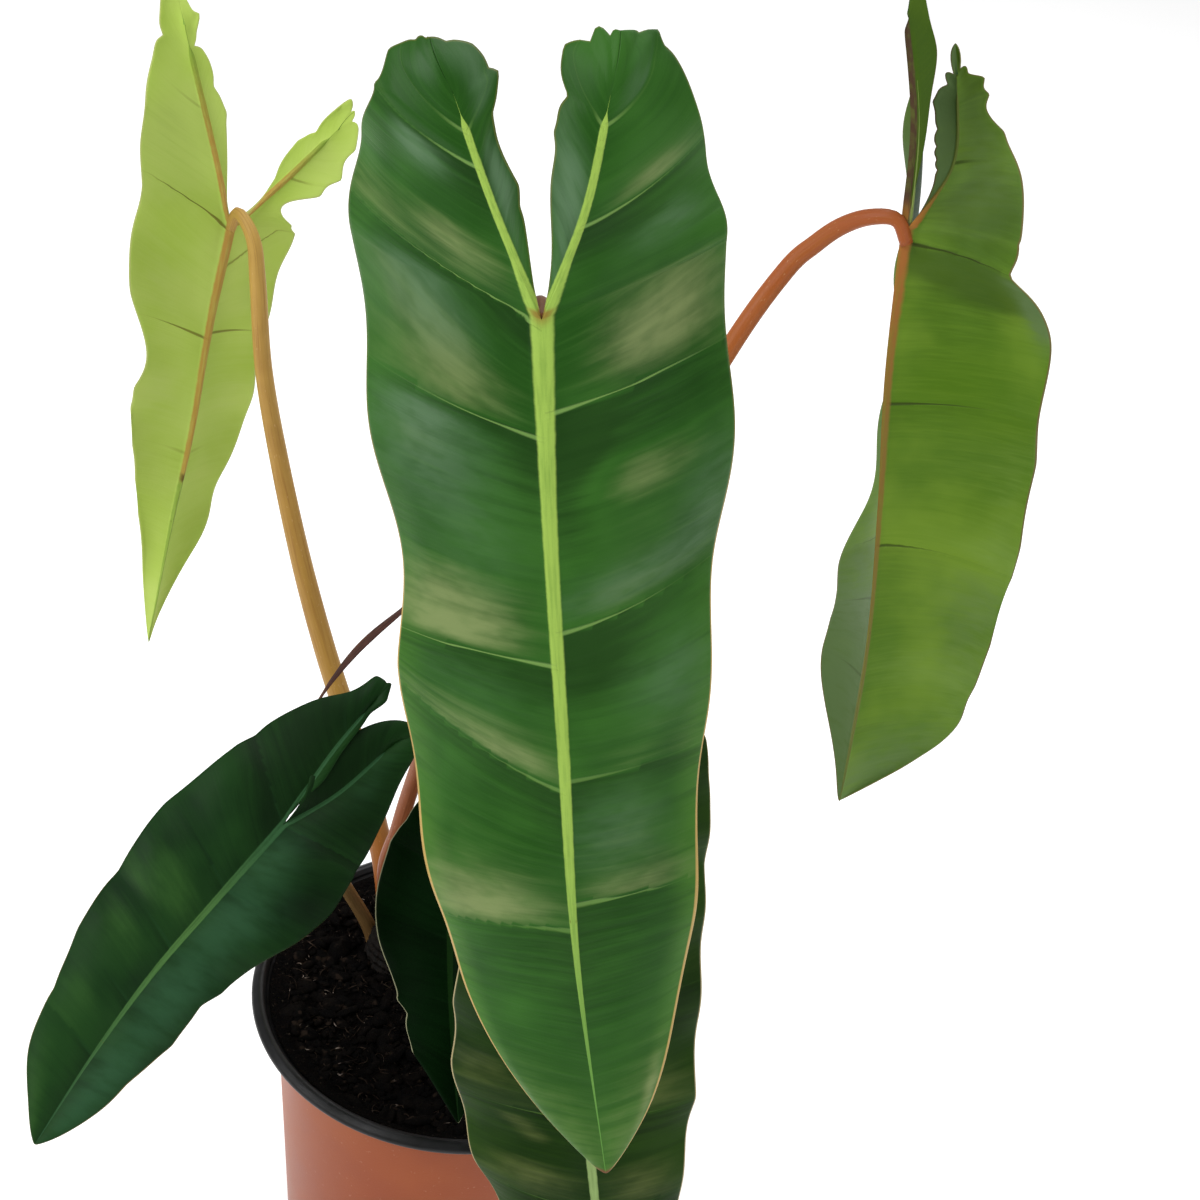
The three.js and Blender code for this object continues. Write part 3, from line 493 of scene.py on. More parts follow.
def pressed(row, notches):
    """Sum of depth * exp(-|distance / size|^1.5) over the margin's notches; a negative depth is a bump."""
    return sum(depth * np.exp(-np.abs((row - place) / size) ** 1.5) for place, depth, size in notches)


def vein_numbers(half, row, x, hub):
    """Number of the side vein at every point: whole on a vein, which drifts from its start row at the rib to its end
    row at the margin, and in between on the panels. With it, the way along the rib where the point's line starts."""
    knots = np.array([[-0.1, -0.14], *[vein[:2] for vein in half["side_veins"]], [2.1, 2.2]])
    drift = knots[:, :1] + (knots[:, 1:] - knots[:, :1]) * x**1.3
    number = np.stack([np.interp(row, places, np.arange(len(knots))) for places in drift.T], 1)
    start_row = np.interp(number, np.arange(len(knots)), knots[:, 0])
    return number, np.interp(start_row, row, way_along(hub)) + LOBE_SHIFT * (row[0] > 0.5)


def patches(bells, number, x, inner):
    """Sum of strength * exp(-(vein numbers away / tall)^2 - (shares away / wide)^2); a low bell ends at its panel's
    two side veins. A negative place across puts the bell on the lobe's inner strip."""
    total = np.zeros_like(number)
    for where, across, tall, wide, strength in bells:
        if (across < 0) == inner:
            bell = np.exp(-(((number - where) / tall) ** 2) - ((x - abs(across)) / wide) ** 2)
            below, above = number - np.floor(where), np.floor(where) + 1 - number
            inside = smooth_step(0, 0.07, below) * smooth_step(0, 0.07, above) if tall < 0.45 else 1
            total = total + strength * bell * inside
    return total


def veins_and_painted_light(half, number, x, inner):
    """Strength of the nearest side vein; the tone of the panels, which is painted light: painted sheen just above each
    panel's lower vein, painted shade just below its upper one, plus the pools of painted sheen and shade; and the veil
    of painted sheen."""
    strengths = np.array([0, *[vein[2] for vein in half["side_veins"]], 0], float)
    reaches = np.array([1, *[vein[3] for vein in half["side_veins"]], 1], float)
    nearest = np.clip(np.round(number).astype(int), 0, len(strengths) - 1)
    show = strengths[nearest] * (1 - 0.9 * smooth_step(reaches[nearest] - 0.3, reaches[nearest] + 0.15, x[None]))
    last = len(strengths) - 2
    show = show * ((nearest == last) & (half["side_veins"][-1][0] > 1.6) if inner else 1)
    share = number - np.floor(number)
    tone = PANEL_SHEEN * (1 - smooth_step(0, 0.5, share)) * smooth_step(0, 0.5, x)
    tone = (tone - PANEL_SHADE * smooth_step(0.35, 1, share) * (1 - 0.6 * x)) * half["panel_tone"]
    tone = tone * (1 - smooth_step(last - 0.9, last - 0.4, number))
    pools, veils = (patches(half.get(key, []), number, x, inner) for key in ("pools", "veils"))
    return show, tone + pools, veils


# %% Lines of a strip
def strip_lines(leaf, half, inner):
    """For each row of a strip: its number, the hub on the vein, the reach, the width, and the share of the lobe's
    vein that lies behind it. The outer strip runs down the midrib and on along the lobe's vein."""
    rows, lobe_rows, _ = leaf["size"]
    s, q = np.linspace(0, 1, rows + 1), np.linspace(0, 1, lobe_rows + 1)
    reached = 1 - (1 - q) ** LOBE_CROWDING
    lobe_hub = through([leaf["rib"][-1], *half["vein"]], reached)
    if inner:
        hub, row = lobe_hub, 1 + q
        reach = through([*half["inner_reach"], half["lobe_reach"][-1]], q)
        width = through([0, *half["inner"], half["lobe"][-1]], q)[:, 0]
        width = width - pressed(row, half.get("inner_notches", [])) * smooth_step(1.0, 1.05, row)
    else:
        along, row = s**TIP_CROWDING, np.concatenate([s, 1 + q[1:]])
        hub = np.vstack([through(leaf["rib"], along), lobe_hub[1:]])
        reach = np.vstack([through(half["reach"], along), through([half["reach"][-1], *half["lobe_reach"]], q[1:])])
        width = np.concatenate([through(half["wide"], s), through([half["wide"][-1], *half["lobe"]], q[1:])])[:, 0]
        width = width - pressed(row, half.get("notches", [])) * smooth_step(0, 0.05, row)
        reached = np.concatenate([0 * s, reached[1:]])
    return row, hub, reach, np.maximum(width, LEAST_WIDTH), reached


def rib_widths(leaf, half, inner, row, reached):
    """The midrib's width at each row, which passes over into the lobe's vein; that one tapers and stops."""
    stop = half.get("rib_stop", RIB_STOP)
    taper = np.maximum(1 - 0.2 * reached - 0.8 * smooth_step(stop, stop + RIB_END, reached), LEAST_RIB)
    lobe_rib = (leaf if inner else half)["lobe_rib"] * taper
    main_rib = through(leaf["rib_width"], np.minimum(row, 1))[:, 0]
    blend = 1.0 if inner else smooth_step(0, 0.22, row - 1)
    return (main_rib * (1 - blend) + lobe_rib * blend)[:, None]


# %% One strip of a blade
def strip(leaf, side, inner):
    """A strip as a grid of points: hub + width * x * reach, lifted by an arch 4x(1-x), by margin waves and by a
    quilt sin^2(pi * vein number) that puffs the blade up between its side veins."""
    half = {**leaf, **leaf[side]}
    row, hub, reach, width, reached = strip_lines(leaf, half, inner)
    columns = leaf["size"][2] // (2 if inner else 1)
    x = np.linspace(0, 1, columns + 1) ** RIB_CROWDING
    out = np.outer(width, x)
    middle = unit(through(half["reach"], [0.5]))[0]
    line = np.subtract(leaf["rib"][0], leaf["rib"][-1])
    face = unit(np.cross(middle, line)) * (1 if side == "left" else -1)
    count, start = leaf["waves"]
    turn = np.where(row <= 1, np.minimum(row, 1) ** TIP_CROWDING, 1 + (row - 1) / 2)
    swing = np.sin(2 * np.pi * (count * turn + start))[:, None]
    number, station = vein_numbers(half, row, x, hub)
    share, off_rib = number - np.floor(number), smooth_step(0, 0.25, x)
    dome = np.sin(np.pi * share**0.75) ** 2 * off_rib * (1 - 0.7 * smooth_step(0.75, 1, x))
    arch, puff = ARCH * 4 * x * (1 - x) * leaf["top"], QUILT * (dome - 0.4 * off_rib) * leaf["top"]
    lift = width[:, None] * (arch + WAVE * x**2 * swing + puff)
    points = hub[:, None] + out[..., None] * unit(reach)[:, None] + lift[..., None] * face

    step = np.linalg.norm(np.gradient(points, axis=0), axis=-1)
    pitch = step / np.maximum(np.abs(np.gradient(number, axis=0)), 1e-3)
    rib_width = rib_widths(leaf, half, inner, row, reached)
    show, tone, sheen_veil = veins_and_painted_light(half, number, x, inner)
    return dict(points=points, veins=(number, out / CM), margin=(width[:, None] * (1 - x), row[:, None]),
                ridge=(out / rib_width, np.minimum(pitch, WIDEST_PANEL) / CM), veins_and_painted_light=(show, tone),
                way=(station / CM, np.float64(side == "right")), sheen_veil=(sheen_veil, x[None]), rib_width=(rib_width,))


# %% A whole blade
LAYERS = ("veins", "margin", "ridge", "veins_and_painted_light", "way", "sheen_veil")


def joined_strips(leaf):
    """A leaf's four strips as one list of points, quads and layers, and every point's own point on the rib."""
    points, quads, home, start = [], [], [], 0
    layers = {layer: [] for layer in (*LAYERS, "rib_width")}
    for side, inner in (("left", False), ("left", True), ("right", False), ("right", True)):
        made = strip(leaf, side, inner)
        rows, columns = made["points"].shape[:2]
        cells = grid_quads(rows, columns) + start
        quads.append(cells if (side == "right") != inner else cells[:, ::-1])
        points.append(made["points"].reshape(-1, 3))
        home.append(np.repeat(np.arange(rows) * columns + start, columns))
        for layer, values in layers.items():
            values.append(np.stack([np.broadcast_to(v, (rows, columns)).ravel() for v in made[layer]], 1))
        start += rows * columns
    layers = {layer: np.vstack(values) for layer, values in layers.items()}
    return np.vstack(points), np.vstack(quads), np.concatenate(home), layers


def blade(name, leaf, materials):
    """Four strips welded at the rib; the sheet is moved out along its normals to a top and an under side, with the
    midrib standing out by a rounded ridge, and is closed by a wall along the margin."""
    points, quads, home, layers = joined_strips(leaf)
    _, first, weld = np.unique(np.round(points * 1e4).astype(np.int64), axis=0, return_index=True, return_inverse=True)
    weld = weld.ravel()
    sheet, faces = points[first], weld[quads]
    across, down = sheet[faces[:, 2]] - sheet[faces[:, 0]], sheet[faces[:, 3]] - sheet[faces[:, 1]]
    normals = np.zeros_like(sheet)
    np.add.at(normals, faces.ravel(), np.repeat(np.cross(across, down), 4, axis=0))
    rib, edge, rib_width = layers["ridge"][first, 0], layers["margin"][first, 0], layers["rib_width"][first, 0]
    sheet = np.clip(sheet, np.array(cad_low) / MM + BLADE_THICKNESS, np.array(cad_high) / MM - BLADE_THICKNESS)
    on_rib = weld[home[first]]
    near = (1 - smooth_step(0.8, 2.2, rib))[:, None]
    normals = unit(normals)
    up = unit(normals * (1 - near) + normals[on_rib] * near) * leaf["top"]

    thick = BLADE_THICKNESS / 2 * np.sqrt(np.clip(edge / 0.8, 0.2, 1))
    round_rib = rib_width * np.sqrt(np.clip(1 - rib**2, 0, 1)) * np.clip(edge / 2, 0, 1)
    top = sheet + up * (thick + RIB_ABOVE * round_rib)[:, None]
    under = sheet - up * (thick + RIB_BELOW * round_rib)[:, None]

    rim_corners = open_edges(quads, weld)
    rim, n = weld[rim_corners], len(sheet)
    front, back = (0, n) if leaf["top"] == 1 else (n, 0)
    wall = np.stack([rim[:, 1] + front, rim[:, 0] + front, rim[:, 0] + back, rim[:, 1] + back], 1)
    corners = np.vstack([quads, quads[:, ::-1], rim_corners[:, [1, 0, 0, 1]]]).ravel()
    uv = {layer: layers[layer][corners] for layer in LAYERS}
    slots = np.repeat([front > 0, back > 0, False], [len(faces), len(faces), len(rim)])
    fine_piece(f"{name}_blade", np.vstack([top, under]), (faces + front, faces[:, ::-1] + back, wall), materials,
               uv=uv, slots=slots)


# %% [markdown]
# ## The finish of a blade
#
# The top is deep green and satin, with fine lines that run along the side veins. Painted shade lies just below each
# side vein and painted sheen just above it, with pools of painted sheen and shade and veils of painted sheen between.
# The midrib is a smooth pale band and the margin a thin dry line. The under side is paler and less glossy. The pattern
# follows the UV maps: vein number and distance from the rib, distance from the margin and row, rib share and spacing.

# %% Midrib colour
def midrib_colour(f, row, side, ridge, grain, rib, rib_end, rib_start, lobe_rib, start_fade, end_fade):
    """The midrib's colour, which fades from its end to its start, with a grain; the left lobe's vein may differ."""
    tone = f.paint(rib_end, rib, row, *end_fade)
    if rib_start:
        tone = f.paint(tone, rib_start, row, 0.75, 1.0)
        tone = f.paint(tone, rib_end, row, *start_fade)
    if lobe_rib:
        tone = f.mix(f.rise(row, 1.02, 1.1) * f.rise(side, 0.4, 0.6, 1.0, 0.0), tone, lobe_rib)
    return f.paint(tone, grain, f.noise((ridge * 1.2, row * 12.0), 1.5, 3.0), 0.4, 0.75, 0.0, 0.3)


# %% Blade finish
def blade_finish(name, deep, light, rib, rib_end, vein, margin, gloss=0.5, sheen_pool="#8f9a6e", sheen_pool_share=0.75,
                 sheen_veil=None, glow=None, vein_depth=1.0, ripples=0.9, specular=0.2, rib_start=None, lobe_rib=None,
                 start_fade=(1.15, 1.75), end_fade=(0.05, 0.8), spot=None, dry=(0.6, 1.0, 3.0, 4.0), tip=None):
    """Base colour: deep to light by soft clouds and fine streaks along the side veins, lighter towards margin and tip,
    then painted sheen and shade on the panels, pools of painted sheen and shade, veils of painted sheen, side veins,
    midrib and dry margin. Relief: streaks, sunken side veins and a fine grain."""
    f = Finish(name, specular)
    (number, out), (edge, row), (ridge, pitch) = f.uv("veins"), f.uv("margin"), f.uv("ridge")
    (show, tone), (station, side) = f.uv("veins_and_painted_light"), f.uv("way")
    streak = f.noise((station * 9.0, out * 0.55, row), 1.0, 3.0, 0.65)
    hair = f.noise((station * 26.0, out * 0.8, row), 1.0, 2.0, 0.5)
    patchy = f.noise((station * 2.4, out * 0.9, side), 1.0, 2.0, 0.5)
    ripple = f.noise((station * 3.2, out * 0.14, side), 1.0, 2.0, 0.5)
    cloud = f.noise(f.place(), 22.0, 3.0, 0.5)
    base = f.paint(deep, light, cloud, 0.35, 0.68)
    if glow:
        towards = f.rise(edge, 0.0, 13.0, 0.8, 0.0) * f.rise(row, 0.55, 0.9, 1.0, 0.1)
        towards = towards.largest(f.rise(row, 0.05, 0.3, 0.6, 0.0))
        base = f.mix(towards * f.rise(patchy, 0.3, 0.6, 0.75, 1.0), base, glow)
    base = f.paint(base, light, streak, 0.42, 0.72, 0.0, 0.18)
    base = f.paint(base, deep, hair, 0.5, 0.75, 0.0, 0.14)
    base = f.paint(base, light, ripple, 0.52, 0.62, 0.0, 0.25 * ripples)
    base = f.paint(base, deep, ripple, 0.38, 0.48, 0.3 * ripples, 0.0)

    # Painted sheen and painted shade on the panels: the tone, broken up by the streaks and ripples. Where it is high
    # the pale sheen colour is painted on, where it is low a darkened deep green is painted as shade.
    painted_sheen_and_shade = tone + (streak * 0.25 + ripple * (0.5 * ripples) - (0.125 + 0.25 * ripples))
    pale = painted_sheen_and_shade * f.rise(patchy, 0.3, 0.62, 0.8, 1.1)
    base = f.paint(base, sheen_pool, pale, 0.05, 1.15, 0.0, sheen_pool_share)
    base = f.paint(base, colour(deep, 0.4), painted_sheen_and_shade + (patchy - 0.5) * 0.2, -0.75, -0.06, 0.7, 0.0)
    # Veils of painted sheen, broken up by the patches.
    if sheen_veil:
        base = f.paint(base, sheen_veil, f.uv("sheen_veil")[0] * f.rise(patchy, 0.3, 0.62, 0.78, 1.1), 0.05, 1.1, 0.0, 0.85)
    off_vein = number.pingpong(0.5) * (pitch * CM) / f.rise(out, 0.0, 2.2, 0.85, 0.28)
    line = f.rise(off_vein, 0.3, 1.15, 1.0, 0.0) * show
    base = f.mix(line, base, vein)

    # The midrib, with rough sides, brown specks and one spot.
    rib_tone = midrib_colour(f, row, side, ridge, light, rib, rib_end, rib_start, lobe_rib, start_fade, end_fade)
    rough_side = ridge + f.noise((row * 90.0, ridge * 0.5), 1.0, 2.0, 0.6) * 0.2
    rib_mask = f.rise(rough_side, 0.85, 1.2, 1.0, 0.0)
    base = f.mix(rib_mask, base, rib_tone)
    specks = f.rise(f.noise((row * 45.0, ridge * 0.9, 7.0), 1.0, 1.0), 0.72, 0.78, 0.0, 0.6)
    base = f.mix(specks * rib_mask, base, "#5c5020")
    if spot:
        spot_row, spot_size, spot_tint = spot
        near = f.rise(abs(row - spot_row), 0.3 * spot_size, spot_size, 1.0, 0.0)
        base = f.mix(near * f.rise(ridge, 0.2, 1.2, 0.85, 0.0), base, spot_tint)

    # The dry margin: its inner and outer distance, and the rows between which it fades.
    worn = (edge + cloud * 0.6) / f.rise(row, 0.3, dry[2], 1.0, 0.45)
    base = f.mix(f.rise(worn, dry[0], dry[1], 1.0, 0.0) * f.rise(row, dry[2], dry[3], 1.0, 0.15), base, margin)
    if tip:
        base = f.paint(base, tip, row, 0.012, 0.035, 1.0, 0.0)
    height = streak * 0.3 + f.noise(f.place(), 900.0) * 0.15 + (hair * 0.15 + ripple * ripples) - line * vein_depth
    return f.made(base, f.rise(cloud + streak * 0.5, 0.5, 1.0, gloss, gloss + 0.14), height, 0.00025)


# %% Blades made
TOPS = {
    "front_leaf": dict(
        deep="#1f4a11", light="#32621f", glow="#467526", sheen_pool="#86935e", sheen_veil="#587656", vein="#6c9048", gloss=0.36,
        rib="#98b850", rib_end="#5f9040", end_fade=(0.15, 0.6), margin="#b89a58", dry=(1.5, 2.1, 0.7, 0.95),
        spot=(1.012, 0.022, "#8c6c2c"), tip="#6c4428", specular=0.12),
    "left_leaf": dict(
        deep="#7fa338", light="#93b54c", rib="#b9a24c", rib_end="#8ea54a", vein="#a8963e", margin="#a8b060",
        gloss=0.4),
    "right_leaf": dict(
        deep="#34552a", light="#456640", rib="#7d9048", rib_end="#6d8440", vein="#5f7c4c", margin="#8b8a5a",
        specular=0.1),
    "low_left_leaf": dict(
        deep="#0c260e", light="#1a3c16", sheen_pool="#2e5222", sheen_pool_share=0.9, sheen_veil="#2c5034", ripples=0.5, vein="#20442a",
        rib="#486e38", rib_end="#2a4e30", rib_start="#305634", margin="#80744c", dry=(0.5, 0.8, 0.9, 1.1),
        gloss=0.42, specular=0.08),
    # The small inner leaf hangs in the shade of the others: its almost black greens are painted shade.
    "small_inner_leaf": dict(
        deep="#021002", light="#061c06", sheen_pool="#12280f", sheen_pool_share=0.4, rib="#122a0c", rib_end="#10260e",
        vein="#0c220c", margin="#8f8f70", gloss=0.45, specular=0.02),
    "low_front_leaf": dict(
        deep="#142c04", light="#24400a", sheen_pool="#646e3c", rib="#8da468", rib_end="#7f9c58", vein="#486828",
        margin="#a89a70", gloss=0.4, specular=0.1),
}
DARK_UNDER = dict(deep="#2c4a24", light="#3c5c30", rib="#6a6a34", rib_end="#4a5a2c", vein="#4a5228", margin="#988a60")
# The under sides of the left and right leaves are seen against the light: their bright lime greens are painted light
# that shines through the blades from behind.
UNDERS = {
    "front_leaf": dict(
        deep="#4c7a2e", light="#64924a", rib="#8c7a3c", rib_end="#7a8a44", vein="#6d6a34", margin="#a79a6a"),
    "left_leaf": dict(
        deep="#a4bf4c", light="#b2c862", sheen_pool="#bcc884", ripples=0.45, vein="#76782c", vein_depth=-0.8,
        rib="#ac8a3c", rib_end="#7f9a38", rib_start="#b08840", end_fade=(0.52, 0.56), spot=(0.54, 0.012, "#5c4418"),
        margin="#b4c070", specular=0.15),
    "right_leaf": dict(
        deep="#4c700e", light="#6c8c26", sheen_pool="#789648", sheen_veil="#5a7246", ripples=0.35, vein="#33420e",
        vein_depth=-0.8, rib="#86682c", rib_end="#5f6a30", rib_start="#a0642e", start_fade=(1.02, 1.3),
        lobe_rib="#4a3624", margin="#6c6038", specular=0.15),
    "low_left_leaf": DARK_UNDER,
    "small_inner_leaf": DARK_UNDER,
    "low_front_leaf": dict(
        deep="#3c6428", light="#4c7438", rib="#7a7038", rib_end="#5a6a2c", vein="#5a5a2c", margin="#988a60"),
}
for leaf_name, leaf in LEAVES.items():
    finishes = [blade_finish(f"{leaf_name}_{face}", **table[leaf_name]) for face, table in
                (("top", TOPS), ("under", UNDERS))]
    blade(leaf_name, leaf, finishes)


# %% [markdown]
# ## The stalks
#
# A stalk is a tapering tube with a slightly flattened, finely ribbed section. It swells at its foot, where it clasps
# the stem, and again at the knee under the blade. The rings follow the curve without twisting.

# %% Tube along a curve
CURVE_STEPS = 2001
FIRST_ACROSS = [0.3, 1, 0.1]


def carried_rings(path, radii, rings, sides, flat, bumps):
    """Rings of points along a curve: centre + r(share) * (cos a * side + flat * sin a * other), on frames that are
    turned as little as possible from ring to ring. With them, the curve's length."""
    shares = np.linspace(0, 1, CURVE_STEPS)
    length = way_along(through(path, shares))
    centre = through(path, np.interp(np.linspace(0, length[-1], rings), length, shares))
    tangent = unit(np.gradient(centre, axis=0))
    side = np.zeros_like(centre)
    side[0] = unit(np.cross(tangent[0], FIRST_ACROSS))
    for i in range(1, rings):
        side[i] = unit(side[i - 1] - tangent[i] * (side[i - 1] @ tangent[i]))
    share, angle = np.linspace(0, 1, rings)[:, None], full_turn(sides)[None]
    radius = through(radii, share[:, 0]) * (1 + bumps(share, angle))
    wide, thin = radius * np.cos(angle), radius * flat * np.sin(angle)
    other = np.cross(tangent, side)[:, None]
    return centre[:, None] + wide[..., None] * side[:, None] + thin[..., None] * other, length[-1]


def tube_piece(node, path, radii, rings, sides, material, bumps, flat=1.0):
    """A closed tube: the carried rings, with a fan to the middle of each end, and UV = (turn, way in cm)."""
    ring, length = carried_rings(path, radii, rings, sides, flat, bumps)
    points, quads, fans = skin(ring)
    around, along = quads % sides, quads // sides
    around = np.where((around == 0) & (quads[:, [0]] % sides == sides - 1), sides, around)
    uv = np.stack([around / sides, along / (rings - 1) * length / CM], -1).reshape(-1, 2)
    ends = np.repeat([[0.5, 0.0], [0.5, length / CM]], 3 * sides, axis=0)
    fine_piece(node, points, (quads, fans), [material], uv={"way": np.vstack([uv, ends])})


# %% Stalk finish
def stalk_finish(name, foot, middle, head, streak, length):
    """Colour runs from foot to head, with darker streaks along the stalk and small pale flecks."""
    f = Finish(name, 0.22)
    turn, way = f.uv("way")
    base = f.paint(foot, middle, way, 0.5, 0.35 * length)
    base = f.paint(base, head, way, 0.5 * length, 0.98 * length)
    lines = f.noise((turn * 26.0, way * 0.35), 1.0, 3.0, 0.6)
    base = f.paint(base, streak, lines, 0.45, 0.78, 0.0, 0.6)
    base = f.paint(base, "#d9b98a", f.noise((turn * 30.0, way * 4.0, 5.0)), 0.64, 0.74, 0.0, 0.3)
    base = f.paint(base, streak, f.noise(f.place(), 60.0), 0.4, 0.75, 0.0, 0.25)
    return f.made(base, f.rise(lines, 0.3, 0.8, 0.35, 0.55), lines, 0.0002)


# %% Stalks made
STALK_RINGS, STALK_SIDES = 180, 32
STALKS = {
    "front_leaf": (
        [[-27, 22, 126], [-38, 30, 174], [-34, 31, 203], [-29, 29, 232], [-14, 14, 313], [-2, -13, 396], [4, -45, 461],
         [6, -63, 487], [8, -82, 491]],
        [4.2, 3.4, 3.3, 3.1, 3.0, 2.9, 2.9, 3.1, 2.6],
        ("#8d4a24", "#9c5c3a", "#7a4a22", "#6e3a1c"),
    ),
    "left_leaf": (
        [[-33, 31, 126], [-41, 45, 171], [-61, 64, 222], [-76, 76, 256], [-88.5, 86, 289], [-100.5, 97, 326],
         [-109.5, 103, 365], [-114, 109, 400], [-117, 113, 416.5], [-124.5, 120, 423.5], [-128.5, 123, 415]],
        [5.2, 5.0, 4.9, 4.8, 4.6, 4.4, 4.1, 3.8, 3.5, 3.2, 2.0],
        ("#a04c1c", "#a8803c", "#b8934a", "#8a5f2c"),
    ),
    "right_leaf": (
        [[-17, 32, 126], [-11, 35, 197], [17, 47, 266], [45, 77, 347], [71, 98, 407], [87, 105, 438], [96, 105, 450],
         [104, 103, 459], [113, 98, 466], [122.5, 94, 468], [127.7, 92.5, 460]],
        [5.4, 4.7, 4.5, 4.3, 4.2, 4.1, 4.0, 3.9, 3.7, 3.4, 2.4],
        ("#8a4c1c", "#a46028", "#9c5026", "#a0602c"),
    ),
    "low_left_leaf": (
        [[-36, 21, 126], [-42, 28, 145], [-52, 24, 170], [-60, 5, 205], [-65, -22, 237], [-68, -42, 259]],
        [3.6, 3.0, 2.8, 2.7, 2.6, 2.4],
        ("#7a5a34", "#80643e", "#5a5a30", "#5c4426"),
    ),
    "small_inner_leaf": (
        [[-25, 16, 126], [-20, 10, 170], [-14, -2, 205], [-9, -11, 221], [-8, -15, 225]],
        [3.0, 2.3, 2.0, 1.9, 1.8],
        ("#6a4a2c", "#6c5230", "#4a5028", "#4c3a20"),
    ),
    "low_front_leaf": (
        [[-15, 22, 126], [0, 14, 172], [26, -8, 215], [37, -38, 255], [40, -64, 283], [39, -77, 287]],
        [4.0, 3.2, 3.0, 2.9, 2.8, 2.6],
        ("#7a4e2a", "#805c36", "#5c5c30", "#5a4022"),
    ),
}


def fine_ridges(share, angle):
    """Shallow lengthwise ridges, and a flatter face on one side of the stalk."""
    return 0.012 * np.cos(14 * angle + 3 * share) + 0.03 * np.cos(2 * angle + 1.5 * share)


for leaf_name, (path, radii, colours) in STALKS.items():
    finish = stalk_finish(f"{leaf_name}_stalk", *colours, length=way_along(path)[-1] / CM)
    tube_piece(f"{leaf_name}_stalk", path, radii, STALK_RINGS, STALK_SIDES, finish, fine_ridges)


# %% [markdown]
# ## The dry sheath
#
# A sheath that once wrapped a young leaf has dried to a thin curled strip. It is a flat tube whose width swells and
# pinches, with a finish of dark papery fibres.

# %% Sheath
def sheath_finish():
    """Purple-brown fibres along the strip with paler patches."""
    f = Finish("dry_sheath", 0.25)
    turn, way = f.uv("way")
    fibre = f.noise((turn * 30.0, way * 0.8), 1.0, 4.0, 0.65)
    base = f.paint("#2a1512", "#5a342a", fibre, 0.35, 0.7)
    base = f.paint(base, "#6e4a38", f.noise(f.place(), 90.0), 0.5, 0.72, 0.0, 0.6)
    return f.made(base, f.rise(fibre, 0.3, 0.7, 0.5, 0.8), fibre, 0.0005)


def pinches(share, angle):
    """Long swellings and short pinches that turn about the strip."""
    return 0.12 * np.sin(23 * share + 2 * angle) + 0.06 * np.sin(61 * share + angle)


SHEATH_PATH = [[-25, 38, 126], [-25, 53, 173], [-23, 71, 241], [-23, 75, 284], [-29, 68, 304], [-42, 48, 298],
               [-55, 35, 288], [-63, 26, 278], [-68, 20, 270]]
SHEATH_RADII = [2.6, 2.4, 2.3, 2.6, 2.9, 1.8, 1.3, 2.3, 0.7]
SHEATH_RINGS, SHEATH_SIDES, FLATNESS = 220, 20, 0.3
tube_piece("dry_sheath", SHEATH_PATH, SHEATH_RADII, SHEATH_RINGS, SHEATH_SIDES, sheath_finish(), pinches, FLATNESS)


# %% [markdown]
# ## The stem crown
#
# The short stem is a brown stub ringed by the scars and fibres of old leaf sheaths. It is turned as a surface of
# revolution, and rings and lengthwise fibres are added to its radius.

# %% Crown
CROWN_PLACE, CROWN_HEIGHT = np.array([-25, 26, 118.5]), 41
CROWN_RINGS, CROWN_SIDES = 110, 160
CROWN_LEVELS = [0, 0.1, 0.45, 0.62, 0.8, 0.92, 0.985, 1]
CROWN_RADII = [17, 19.4, 19.2, 17.8, 16, 12, 5, 0.3]


def crown_rings():
    """Radius over height from a short profile, plus ring scars cos(height) and fibres cos(k * angle)."""
    height, angle = np.linspace(0, 1, CROWN_RINGS)[:, None], full_turn(CROWN_SIDES)
    radius = np.interp(height, CROWN_LEVELS, CROWN_RADII)
    z = CROWN_HEIGHT * height
    scars = 0.025 * np.sin((CROWN_PLACE[2] + z) * 1.9)
    fibre = 0.02 * np.cos(37 * angle) * np.cos(11 * angle + 0.4) + 0.03 * np.cos(5 * angle + 1)
    r = radius * (1 + scars + fibre)
    return np.stack([r * np.cos(angle), r * np.sin(angle), z + 0 * r], -1) + CROWN_PLACE


def crown_finish():
    """Dark bark brown with paler fibres and darker blotches."""
    f = Finish("stem_crown", 0.2)
    fibre = f.noise(f.place((1.0, 1.0, 0.25)), 520.0, 4.0, 0.65)
    base = f.paint("#0a0705", "#1a120c", fibre, 0.35, 0.7)
    base = f.paint(base, "#0c0806", f.noise(f.place(), 110.0, 3.0), 0.45, 0.7, 0.0, 0.8)
    return f.made(base, f.rise(fibre, 0.3, 0.8, 0.6, 0.95), fibre, 0.0012)


crown_points, *crown_faces = skin(crown_rings())
fine_piece("stem_crown", crown_points, crown_faces, [crown_finish()])


# %% [markdown]
# ## The pot
#
# A thin moulded nursery pot: terracotta plastic outside, black inside and over the rolled rim. Its profile is turned
# about the vertical axis. Two finishes share the mesh, so that the colour changes on an edge loop under the rim.

# %% Pot profile
POT_SIDES = 200
FLOOR = 2.2
BODY_FOOT, BODY_TOP, COLLAR = 66.1, 74.4, 138.0
DRAIN_HOLES, DRAIN_RING, DRAIN_RADIUS = 8, 46.0, 4.0


def arc(centre, radius, start, end, steps):
    """Points of an arc in the (r, z) plane, from one angle to another in degrees."""
    a = np.radians(np.linspace(start, end, steps))
    return np.stack([centre[0] + radius * np.cos(a), centre[1] + radius * np.sin(a)], 1)


